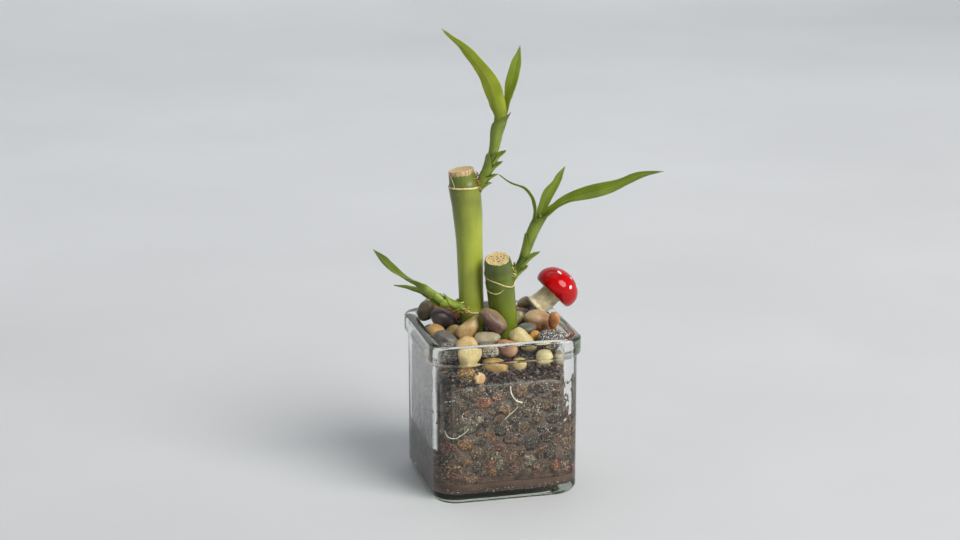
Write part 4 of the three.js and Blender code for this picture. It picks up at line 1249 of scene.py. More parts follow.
@dataclass
class PebbleHeap:
    """The river pebbles: each is the frame's pebble, smoothed and given slow dents."""

    jar: SquareJar
    swell: float = 1.03  # what smoothing and wear take off
    dent: float = 0.5  # depth of the slow dents, mm
    angular: tuple[str, ...] = ("granite", "plum", "grey_left", "speckled_mid", "speckled_left")

    # each stone's own name, body, stain and painted shade, mark, and what differs from the usual pattern,
    # polish and turn
    FINISHES = (
        ("olive", "#6a604c", "#524a38", "#8a7c5c"),
        ("cream_back", "#dccb98", "#c8b27c", "#ecdfb4", Pattern.PLAIN),
        ("orange_tan", "#c98a42", "#8f4e2a", "#dcae66"),
        ("plum", "#453c3f", "#2f282c", "#75686a"),
        ("tan_left", "#c49a5c", "#a87c48", "#dcbc86"),
        ("tan_brown", "#b69a64", "#8c7448", "#d2ba84"),
        ("grey_left", "#6a6662", "#524e4a", "#8c8680"),
        ("speckled_left", "#827c78", "#68625e", "#d8d2cc", Pattern.SPECKLED, 0.55),
        ("ochre_drop", "#cdb07a", "#b28a56", "#e2cc9c", Pattern.MOTTLED, 0.36, 40),
        ("cream_front", "#e4cf98", "#d8bd84", "#cfa870", Pattern.BANDED, 0.5, 8),
        ("mauve_long", "#93805c", "#6e5250", "#b39a6c"),
        ("beige_oval", "#b5aa8e", "#9c9074", "#cbbf9c", Pattern.PLAIN, 0.38),
        ("speckled_mid", "#878070", "#686256", "#c4bba4", Pattern.SPECKLED, 0.5),
        ("pink_front", "#c49a72", "#aa7460", "#dcc48a"),
        ("yellow_long", "#d6c68e", "#bfac6c", "#e6d8a8", Pattern.PLAIN, 0.4),
        ("grey_streak", "#6c6c62", "#53534b", "#ecebe2", Pattern.STREAKED, 0.4, 70),
        ("tan_pink", "#bda27a", "#a06a4a", "#d2b88e"),
        ("orange_small", "#d69a44", "#b0702e", "#e4b870"),
        ("granite", "#66625c", "#4a4743", "#dcd8ce", Pattern.SPECKLED, 0.62),
        ("orange_upright", "#cf9150", "#8e5c34", "#dcb07a"),
        ("mauve_back", "#7d665c", "#64504a", "#9c8476"),
        ("orange_back", "#d0985c", "#b07a46", "#e2bc90", Pattern.PLAIN),
        ("olive_back", "#978866", "#74604e", "#b0a27c"),
        ("green_cream", "#b2aa7c", "#969060", "#ccc498", Pattern.PLAIN),
        ("plum_right", "#554447", "#3d3134", "#8a7a78", Pattern.SPECKLED),
        ("grey_back", "#6b665e", "#55514b", "#8f897e"),
        ("tan_back", "#b99863", "#9a7a49", "#d2ba8a"),
        ("low_speckled", "#77592e", "#553a1e", "#c49a52", Pattern.SPECKLED),
        ("low_tan", "#a98449", "#866736", "#c8a870"),
        ("low_cream", "#c9b27e", "#b19a66", "#dccb9c", Pattern.PLAIN),
        ("low_cream_right", "#cfbf8f", "#b9a775", "#e0d3aa", Pattern.PLAIN),
        ("low_beige_corner", "#8f846c", "#736a55", "#aba084"),
        ("low_rust", "#9a6236", "#774624", "#bb8652"),
        ("low_grey", "#5e5a54", "#464340", "#827c72"),
        ("low_mauve", "#7b5f52", "#614840", "#9a7e6c"),
        ("low_tan_back", "#b59058", "#937042", "#cfb07c"),
        ("low_olive_back", "#69624b", "#504a37", "#89805f"),
        ("low_pink_back", "#b58a74", "#97695a", "#d0ac98"),
        ("low_grey_left", "#5c5954", "#454340", "#7f7b72", Pattern.SPECKLED),
        ("low_plum", "#473c40", "#33292d", "#6e6266"),
        ("low_ochre", "#b8945a", "#96743f", "#d0b27e"),
    )

    # where a stone's darker second colour lies, for those that show it: partly stain, partly painted shade;
    # the others darken towards the bottom
    STAIN_AND_SHADE_SIDES = {
        "mauve_long": (-0.6, -0.3, -0.8),
        "tan_pink": (0.3, -0.7, -0.8),
        "orange_upright": (-1.0, -0.2, -0.2),
        "orange_tan": (1.0, 0.0, -0.2),
        "pink_front": (-0.8, 0.0, -0.6),
        "olive_back": (0.7, -0.3, -0.5),
        "grey_streak": (-0.5, -0.2, -0.8),
    }

    def wear(self, mesh: BMesh, middle: Vector, index: int, start: float) -> None:
        """Wears a stone flatter on a few sides.

        Args:
            mesh: The stone, which is changed.
            middle: Its middle.
            index: Its number, which seeds the sides.
            start: The share of its reach at which a flat begins.
        """
        rng = random.Random(40 + index)
        for _ in range(7):
            way = any_way(rng).normalized()
            reach = max((vert.co - middle).dot(way) for vert in mesh.verts)
            for vert in mesh.verts:
                over = (vert.co - middle).dot(way) - start * reach
                if over > 0:
                    vert.co -= way * over * 0.7

    def shape(self, name: str, index: int) -> BMesh:
        """One pebble, with slow dents that make it less regular.

        Args:
            name: The pebble's name without its prefix.
            index: Its number, which seeds the dents.

        Returns:
            The pebble in millimetres.
        """
        mesh = merged_copy("pebble_" + name)
        bmesh.ops.subdivide_edges(mesh, edges=mesh.edges, cuts=1, use_grid_fill=True, smooth=1.0)
        middle = middle_of(mesh)
        rugged = 1.8 if name in self.angular else 1.0
        self.wear(mesh, middle, index, 0.82 if name in self.angular else 0.88)
        side = mesh.verts.layers.float.new("side")
        # the darker side, mostly the lower one: partly stain, partly painted shade
        stain_and_shade_way = Vector(self.STAIN_AND_SHADE_SIDES.get(name, (0.2, 0.3, -1.0))).normalized()
        span = max((vert.co - middle).dot(stain_and_shade_way) for vert in mesh.verts)
        for vert in mesh.verts:
            vert[side] = 0.5 + 0.5 * (vert.co - middle).dot(stain_and_shade_way) / span
            out = vert.co - middle
            place = out / 3.4 + Vector((index * 9.7, 0, 0))
            push = (noise(place) + 0.3 * noise(place * 2.3)) * self.dent * rugged
            vert.co = middle + out * self.swell + out.normalized() * push
            self.jar.hold(vert.co, -0.3)
        return mesh

    def build(self) -> None:
        """Builds every pebble of the frame."""
        names = sorted(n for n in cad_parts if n.startswith("pebble_"))
        finishes = {row[0]: RiverStone(*row) for row in self.FINISHES}
        for index, node in enumerate(names):
            name = node.removeprefix("pebble_")
            mesh = self.shape(name, index)
            subdivided(finished(mesh, "stone_" + name, [finishes[name].material()], [node]))


# ---------------- stalks


@dataclass
class Cane:
    """A cut stalk: its skin with leaf scars, its sawn top, and the dry rings left by old sheaths."""

    name: str
    points: Sequence[Point]
    radii: Pairs  # the radius between heights along the axis
    rings: Sequence[float]  # heights of the nodes along the axis
    skin: CaneSkin
    pith: CutPith
    sides: int = 56
    axis: Axis = field(init=False)

    def __post_init__(self) -> None:
        """Lays the axis."""
        self.axis = Axis(self.points)

    def radius(self, height: float) -> float:
        """The stalk's radius at a height: it swells a little under each node and is pinched above it."""
        swell = 0.0
        for ring in self.rings:
            swell += 0.32 * exp(-(((height - ring) / 1.1) ** 2))
            swell -= 0.16 * exp(-(((height - ring - 3.0) / 2.0) ** 2))
        return read_stations(self.radii, height) + swell

    def on_skin(self, height: float, angle: float, lift: float = 0.0) -> Vector:
        """A point on the skin.

        Args:
            height: Millimetres along the axis from the foot.
            angle: Degrees round it: 0 faces the viewer and 90 is on the viewer's right.
            lift: How far the point stands off the skin.

        Returns:
            The point in millimetres.
        """
        turn = radians(VIEWER_TURN + angle)
        reach = self.radius(height) + lift
        return self.axis.carry(Vector((reach * cos(turn), reach * sin(turn), height)))

    def painted_light_share(self, height: float) -> float:
        """How much painted light the side towards the lamp takes at a height: little just below the upper
        node, as painted shade, and above it.
        """
        below = self.rings[-1] - height
        return 0.8 + 0.2 * smoothstep(below, 6.0, 20.0) if below > 0 else 0.36

    def body(self) -> None:
        """Builds the stalk itself, with its dished and slightly ragged cut."""
        length = self.axis.length
        steps = int(length / 1.4)
        heights = [length * i / steps for i in range(steps)]
        profile = [(0.0, 0.0)]
        profile += [(self.radius(h), h) for h in heights if h < length - 1.0]
        top = self.radius(length)
        profile += [
            (top, length - 0.7), (top - 0.12, length - 0.2), (top - 0.45, length + 0.02),
            (top - 0.9, length - 0.02), (top - 1.3, length - 0.28), (top - 2.2, length - 0.36),
            (top * 0.4, length - 0.3), (0.0, length - 0.34),
        ]
        mesh = spun(profile, self.sides)
        along = mesh.verts.layers.float.new("along")
        lit_side = mesh.verts.layers.float.new("lit_side")
        core = mesh.verts.layers.float.new("core")
        for vert in mesh.verts:
            height = vert.co.z
            reach = hypot(vert.co.x, vert.co.y)
            angle = degrees(atan2(vert.co.y, vert.co.x)) - VIEWER_TURN
            vert[along] = height / length
            # painted light: most on the side towards the lamp, less under the upper node
            vert[lit_side] = (0.5 + 0.5 * cos(radians(angle - 55))) * self.painted_light_share(height)
            vert[core] = smoothstep(top - reach, 1.2, 2.2)
            if 0 < reach and height < length - 0.1:
                grain = noise(Vector((vert.co.x / 2.2, vert.co.y / 2.2, height / 22)))
                vert.co.xy *= 1 + 0.012 * grain
            if height > length - 0.5:
                vert.co.z += 0.22 * noise(Vector((vert.co.x / 1.8, vert.co.y / 1.8, 5.0)))
        for face in mesh.faces:
            middle = face.calc_center_median()
            on_top = middle.z > length - 0.5 and hypot(middle.x, middle.y) < top - 0.3
            face.material_index = 1 if on_top else 0
        for vert in mesh.verts:
            vert.co = self.axis.carry(vert.co)
        materials = [self.skin.material(), self.pith.material()]
        finished(mesh, self.name + "_cane", materials, [self.name])

    def scar(self, name: str, way: Pairs, width: float, finish: Material) -> None:
        """Builds a dry ring or line left by an old sheath.

        Args:
            name: The piece's name.
            way: Points of (angle, height) on the skin, in degrees and millimetres.
            width: How wide the dry edge is.
            finish: Its material.
        """
        steps = max(8, int(sum(abs(b[0] - a[0]) + 8 * abs(b[1] - a[1]) for a, b in zip(way, way[1:])) / 5))
        track = Axis([(angle / 10, height, 0.0) for angle, height in way])
        closed = abs(way[-1][0] - way[0][0]) >= 359
        mesh = bmesh.new()
        loops = []
        for step in range(steps if closed else steps + 1):
            place = track.at(step / steps)
            ahead = track.tangent(step / steps)
            angle, height = place.x * 10, place.y
            centre = self.on_skin(height, angle, 0.1)
            nearby = self.on_skin(height + 0.5 * ahead.y, angle + 5 * ahead.x, 0.1)
            out = (centre - self.on_skin(height, angle, -2.0)).normalized()
            run = (nearby - centre).normalized()
            up = run.cross(out)
            taper = 1.0 if closed else min(1.0, 0.25 + 3 * min(step, steps - step) / steps)
            wide = width * taper * (1 + 0.45 * noise(Vector((step * 0.45, 7.0, width))))
            ring = bmesh.ops.create_circle(mesh, segments=6, radius=1.0)["verts"]
            for vert in ring:
                flat = vert.co.copy()
                vert.co = centre + up * flat.x * wide / 2 + out * flat.y * wide * 0.32
            loops.append([edge for edge in mesh.edges if edge.verts[0] in ring and edge.verts[1] in ring])
        pairs = list(zip(loops, loops[1:])) + ([(loops[-1], loops[0])] if closed else [])
        for first, second in pairs:
            bmesh.ops.bridge_loops(mesh, edges=first + second)
        if not closed:
            for loop in (loops[0], loops[-1]):
                bmesh.ops.contextual_create(mesh, geom=loop)
        bmesh.ops.recalc_face_normals(mesh, faces=mesh.faces)
        subdivided(finished(mesh, name, [finish]))


# ---------------- shoots and leaves


@dataclass
class Leaf:
    """A leaf: a sheath that clasps the shoot and opens into a channelled blade with a midrib."""

    name: str
    spine: Axis
    back: Vector
    facing: Vector
    sheath: float  # share of the spine that clasps the shoot
    stations: Sequence[tuple[float, float, float]]  # share, half width, bend radius
    thick: float = 0.34
    wave: float = 0.35  # how far the margin waves, mm
    crease: float = 0.28  # depth of the channel over the midrib, mm

    def half(self, share: float) -> float:
        """Half the width at a share of the length, drawn to a fine tip."""
        return read_stations(self.stations, share) * (1 - 0.8 * smoothstep(share, 0.955, 1.0))

    def place(self, x: float, share: float) -> Vector:
        """The point of the leaf's middle surface at a place across it and a share of its length."""
        along = self.spine.tangent(share)
        up = (-self.back).lerp(self.facing, smoothstep(share, self.sheath, 1.0))
        inward = (up - along * up.dot(along)).normalized()
        across = inward.cross(along)
        bend = read_stations(self.stations, share, 2)
        angle = x * self.half(share) / bend
        free = smoothstep(share, self.sheath, self.sheath + 0.2)
        fold = -self.crease * free * exp(-((x / 0.16) ** 2))
        seed = sum(ord(letter) for letter in self.name)
        ripple = self.wave * free * abs(x) ** 1.5 * noise(Vector((share * 7, copysign(2, x), seed)))
        radius = bend - fold - ripple
        point = self.spine.at(share) + inward * (bend - radius * cos(angle))
        return point + across * radius * sin(angle)

    def surface(self) -> BMesh:
        """The leaf's middle surface, with its UV map `blade` and its attribute `along`."""
        mesh = bmesh.new()
        steps = max(16, int(self.spine.length / 0.9))
        bmesh.ops.create_grid(mesh, x_segments=14, y_segments=steps, size=1.0)
        along = mesh.verts.layers.float.new("along")
        flat = mesh.loops.layers.uv.new("blade")
        for face in mesh.faces:
            for loop in face.loops:
                share = (loop.vert.co.y + 1) / 2
                loop[flat].uv = (loop.vert.co.x * self.half(share), share * self.spine.length)
        for vert in mesh.verts:
            x, share = vert.co.x, (vert.co.y + 1) / 2
            vert[along] = share
            vert.co = self.place(x, share)
        return mesh

    def build(self, finish: Material, replaces: Sequence[str] = ()) -> None:
        """Builds the leaf as a thin solid."""
        piece = finished(self.surface(), self.name, [finish], replaces)
        wall = piece.modifiers.new("thickness", "SOLIDIFY")
        wall.thickness = self.thick * MM
        wall.offset = 0.0


@dataclass
class Scale:
    """A short pointed scale leaf on a shoot."""

    at: float
    back: Point
    length: float
    lift: float
    wrap: float = 1.9


@dataclass
class Sheath:
    """The long sheath out of which the upper leaves grow: it goes right round the stem to a slanted mouth."""

    at: float  # share of the stem where it begins
    back: Point  # the side of its pointed lip
    radius: tuple[float, float]  # at its foot and at its mouth
    mouth: float  # share of its length where the mouth begins
    lip: tuple[float, float]  # how far the lip's tip lies past the stem's end, and out from it


@dataclass
class Shoot:
    """A leafy stem: its slim stem, the scale leaves that sheathe it, and the long sheath near its tip."""

    name: str
    points: Sequence[Point]
    scales: Sequence[Scale]
    sheath: Sheath | None = None
    radius: float = 2.2
    tip: float = 0.7
    axis: Axis = field(init=False)

    def __post_init__(self) -> None:
        """Lays the axis."""
        self.axis = Axis(self.points)

    def stem(self, finish: Material) -> None:
        """Builds the stem, ringed where each scale leaf is attached."""
        length = self.axis.length
        steps = int(length / 0.7)
        profile = [(0.0, -0.5)]
        for i in range(steps + 1):
            height = length * i / steps
            taper = 1 + 0.1 * smoothstep(6 - height, 0, 6)
            taper -= (1 - self.tip) * smoothstep(height / length, 0.5, 1)
            collars = sum(0.09 * exp(-(((height - s.at * length) / 0.5) ** 2)) for s in self.scales)
            profile.append((self.radius * (taper + collars), height))
        profile += [(self.radius * self.tip * 0.5, length + 0.7), (0.0, length + 0.9)]
        mesh = spun(profile, 24)
        along = mesh.verts.layers.float.new("along")
        flat = mesh.loops.layers.uv.new("blade")
        for face in mesh.faces:
            for loop in face.loops:
                co = loop.vert.co
                loop[flat].uv = (3 * co.x - 2 * co.y, co.z)
        for vert in mesh.verts:
            vert[along] = min(1.0, max(0.0, vert.co.z / length)) * 0.4
            vert.co = self.axis.carry(vert.co)
        finished(mesh, self.name + "_stem", [finish], [self.name])

    def clasp(self, share: float, back: Vector) -> tuple[Vector, Vector]:
        """The stem's middle at a share of its length, and the way out of it nearest to `back`."""
        along = self.axis.tangent(share)
        return self.axis.at(share), (back - along * back.dot(along)).normalized()

    def scale_leaf(self, index: int, scale: Scale, finish: Material) -> None:
        """Builds one scale leaf."""
        foot, out = self.clasp(scale.at, Vector(scale.back))
        along = self.axis.tangent(scale.at)
        near = self.radius - 0.35 + 0.12 * index
        ways = ((0.0, near), (0.5, near + 0.5 + 0.2 * scale.lift), (1.0, near + 0.35 + scale.lift))
        spine = Axis([tuple(foot + along * scale.length * up + out * away) for up, away in ways])
        wrap = self.radius * scale.wrap
        stations = [
            (0.0, wrap, self.radius + 0.1), (0.4, wrap * 0.92, self.radius + 0.45),
            (0.75, wrap * 0.5, self.radius + 1.0), (1.0, 0.25, self.radius * 2),
        ]
        name = f"{self.name}_scale_{index + 1}"
        Leaf(name, spine, out, -out, 0.0, stations, thick=0.4, wave=0.2, crease=0.12).build(finish)

    def long_sheath(self, sheath: Sheath, finish: Material) -> None:
        """Builds the long sheath."""
        low, high = sheath.radius
        way = []
        for part in (0.0, 0.35, 0.7):
            middle, out = self.clasp(sheath.at + (1 - sheath.at) * part, Vector(sheath.back))
            way.append(tuple(middle + out * (low + (high - low) * part)))
        middle, out = self.clasp(1.0, Vector(sheath.back))
        past, away = sheath.lip
        way.append(tuple(middle + self.axis.tangent(1.0) * past + out * away))
        closed = 0.96 * pi
        stations = [
            (0.0, closed * low, low), (sheath.mouth, closed * high, high),
            ((sheath.mouth + 1) / 2, 0.52 * closed * high, high * 1.08), (1.0, 0.3, high * 1.6),
        ]
        name = self.name + "_long_sheath"
        Leaf(name, Axis(way), out, -out, 0.0, stations, thick=0.4, wave=0.1, crease=0.1).build(finish)

    def build(self, stem_finish: Material, scale_finish: Material, sheath_finish: Material) -> None:
        """Builds the stem and all that sheathes it, each in its own finish."""
        if self.sheath:
            self.long_sheath(self.sheath, sheath_finish)
        self.stem(stem_finish)
        for index, scale in enumerate(self.scales):
            self.scale_leaf(index, scale, scale_finish)


@dataclass
class LeafPlan:
    """How a full leaf clasps its shoot and where its blade goes from there."""

    shoot: str
    name: str
    start: float  # share of the shoot where the sheath begins
    end: float
    back: Point
    reach: tuple[float, float]  # how far the sheath's back stands from the shoot's axis
    free: Sequence[Point]
    facing: Point
    half: float
    wrap: float = 1.9
    foot: float = 0.0  # the wrap at the sheath's foot, where it differs
    neck: float = 0.85
    widest: float = 0.5
    taper: float = 0.78
    channel: float = 1.7
    wave: float = 0.35
    skin: str = "leaf"

    def leaf(self, shoot: Shoot) -> Leaf:
        """Lays the leaf's spine up the back of the shoot and out along the blade."""
        clasped = []
        for part in (0.0, 0.5, 1.0):
            foot, out = shoot.clasp(self.start + (self.end - self.start) * part, Vector(self.back))
            stand = self.reach[0] + (self.reach[1] - self.reach[0]) * part - 0.45 * (1 - part)
            clasped.append(tuple(foot + out * stand))
        spine = Axis([*clasped, *self.free])
        sheath = (self.end - self.start) * shoot.axis.length / spine.length
        low, high = self.reach[0] - 0.45, self.reach[1]
        stations = [
            (0.0, (self.foot or self.wrap) * low, low), (sheath, self.wrap * high * 0.95, high),
            (sheath + 0.13, self.half * self.neck, max(high * 1.5, self.half)),
            (max(self.widest, sheath + 0.2), self.half, self.half * self.channel),
            ((self.widest + 1) / 2, self.half * self.taper, self.half * self.channel),
            (1.0, 0.45, self.half * self.channel),
        ]
        back, facing = Vector(self.back), Vector(self.facing)
        return Leaf(self.name + "_blade", spine, back, facing, sheath, stations, wave=self.wave)


@dataclass
class RootCollar:
    """Short roots and root stubs that ring the foot of a shoot."""

    name: str
    cane: Cane
    height: float
    angle: float  # where the shoot leaves the cane
    spread: float  # how far round the collar reaches, in degrees
    rise: float  # how far it reaches along the cane, mm
    count: int
    length: tuple[float, float]
    radius: tuple[float, float]
    seed: int

    def build(self, finish: Material) -> None:
        """Builds the roots as bent, tapered strands."""
        rng = random.Random(self.seed)
        mesh = bmesh.new()
        for _ in range(self.count):
            angle = self.angle + rng.uniform(-1, 1) * self.spread
            height = self.height + rng.uniform(-1, 1) * self.rise
            foot = self.cane.on_skin(height, angle, -0.3)
            out = (self.cane.on_skin(height, angle, 1.0) - foot).normalized()
            reach = rng.uniform(*self.length)
            sway = any_way(rng, 0.55)
            middle = foot + (out + 0.5 * sway).normalized() * reach * 0.5
            end = middle + (out * 0.4 + sway).normalized() * reach * 0.5
            thick = rng.uniform(*self.radius)
            radii = [thick * (1 - 0.09 * i) for i in range(7)]
            strand = Axis([tuple(foot), tuple(middle), tuple(end)])
            absorb(mesh, strand.tube(radii, 6, 0.3 * thick, Vector((0.2, 0.9, 0.4))))
        finished(mesh, self.name, [finish])


# ---------------- the toadstool


@dataclass
class Toadstool:
    """The ornament: a lacquered cap with white spots on a foam stem."""

    BASE = Vector((36.4, 13.1, 95.1))  # the middle of the cap's underside
    AXIS = Vector((0.716, 0.018, 0.698)).normalized()
    FOOT = Vector((27.3, 13.3, 87.5))
    cap_radius: float = 12.1
    cap_height: float = 13.7
    lip: float = 4.2  # height of the cap's widest place
    stem_top: float = 5.7
    stem_foot: float = 6.9
    # each spot: degrees round the cap, degrees up from its edge, radius across and up in mm
    spots: Sequence[tuple[float, float, float, float]] = (
        (127, 42, 1.5, 0.9), (178, 63, 0.9, 0.7), (186, 30, 0.9, 1.4), (232, 52, 1.5, 1.1),
        (262, 22, 1.2, 1.2), (305, 60, 1.3, 1.1), (335, 24, 1.5, 1.1), (20, 40, 1.1, 1.4),
        (62, 66, 1.1, 0.9), (66, 20, 1.0, 0.9),
    )

    def dome(self, climb: float) -> tuple[float, float]:
        """Radius and height of the dome at an angle up from its edge, in radians."""
        return self.cap_radius * cos(climb), self.lip + (self.cap_height - self.lip) * sin(climb)

    def stand(self, mesh: BMesh) -> None:
        """Stands a shape made about +Z on the cap's base, along its axis."""
        matrix = Matrix.Translation(self.BASE) @ self.AXIS.to_track_quat("Z", "Y").to_matrix().to_4x4()
        bmesh.ops.transform(mesh, matrix=matrix, verts=mesh.verts)

    def cap(self, lacquer: Material, foam: Material) -> None:
        """The cap: a lacquered dome over a foam underside with a hollow for the stem."""
        profile = [
            (0.0, 2.4), (self.stem_top + 0.2, 2.4), (self.stem_top + 0.6, 1.0), (self.cap_radius - 3.0, 0.2),
            (self.cap_radius - 2.0, 0.02), (self.cap_radius - 1.5, 0.16), (self.cap_radius - 1.1, 0.5),
            (self.cap_radius - 0.66, 1.1), (self.cap_radius - 0.3, 2.0), (self.cap_radius - 0.08, 3.1),
        ]
        count = 22
        profile += [self.dome(pi / 2 * i / count) for i in range(count)]
        profile.append((0.0, self.cap_height))
        mesh = spun(profile, 72)
        for face in mesh.faces:
            middle = face.calc_center_median()
            dipped = middle.z > 0.3 and hypot(middle.x, middle.y) > self.stem_top + 2
            face.material_index = 0 if dipped or middle.z > 4 else 1
        self.stand(mesh)
        finished(mesh, "lacquered_cap", [lacquer, foam], ["toadstool_cap"])

    def stem(self, foam: Material) -> None:
        """The stem: wider at its foot, with the slight dents of soft foam."""
        top = self.BASE + self.AXIS * 1.9
        under = self.BASE - self.AXIS * 2.0
        curve = Axis([tuple(self.FOOT), tuple(self.FOOT.lerp(under, 0.5)), tuple(under), tuple(top)])
        length = curve.length
        stations = [
            (0.0, self.stem_foot - 0.9), (0.9, self.stem_foot), (3.0, self.stem_foot * 0.84),
            (length * 0.55, self.stem_top), (length, self.stem_top),
        ]
        count = 26
        heights = [length * i / count for i in range(count + 1)]
        profile = [(0.0, 0.0)] + [(read_stations(stations, h), h) for h in heights] + [(0.0, length)]
        mesh = spun(profile, 48)
        for vert in mesh.verts:
            dent = noise(Vector((vert.co.x / 3, vert.co.y / 3, vert.co.z / 3)))
            vert.co.xy *= 1 + 0.03 * dent
            vert.co = curve.carry(vert.co)
        finished(mesh, "foam_stem", [foam], ["toadstool_stem"])

    def painted_spots(self, paint: Material) -> None:
        """The white spots: low drops of paint that follow the dome."""
        mesh = bmesh.new()
        for turn, climb, wide, tall in self.spots:
            made = bmesh.ops.create_circle(mesh, cap_ends=True, segments=18, radius=1.0)["verts"]
            face = [f for f in mesh.faces if f.verts[0] in made]
            rings = bmesh.ops.inset_region(mesh, faces=face, thickness=0.22, use_even_offset=True)["faces"]
            inner = {v for f in mesh.faces if f in face for v in f.verts}
            around = set(made) | {v for f in rings for v in f.verts} | inner
            for vert in around:
                x, y = vert.co.x * wide, vert.co.y * tall
                raised = 0.22 if vert in inner and vert not in made else 0.03
                up = radians(climb) + y / self.cap_radius
                radius, height = self.dome(up)
                angle = radians(turn) + x / max(radius, 2.0)
                flat = Vector((radius * cos(angle), radius * sin(angle), height))
                out = Vector((flat.x, flat.y, max(0.0, height) * 1.1)).normalized()
                vert.co = flat + out * raised
        bmesh.ops.triangulate(mesh, faces=[f for f in mesh.faces if len(f.verts) > 4])
        self.stand(mesh)
        subdivided(finished(mesh, "painted_spots", [paint]))

    def build(self) -> None:
        """Builds the ornament and dresses its wire."""
        foam = BeadFoam().material()
        self.cap(DippedLacquer().material(), foam)
        self.stem(foam)
        self.painted_spots(PlainSpeckle("white_spot_paint", "#f4f0ea", "#dcd4cc", 0.35, 1.2).material())
        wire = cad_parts["toadstool_wire"].data.materials
        wire.clear()
        wire.append(PlainSpeckle("drawn_wire", "#a6a5a2", "#7f7e7b", 0.32, 0.6, 1.0).material())


# ---------------- the plant


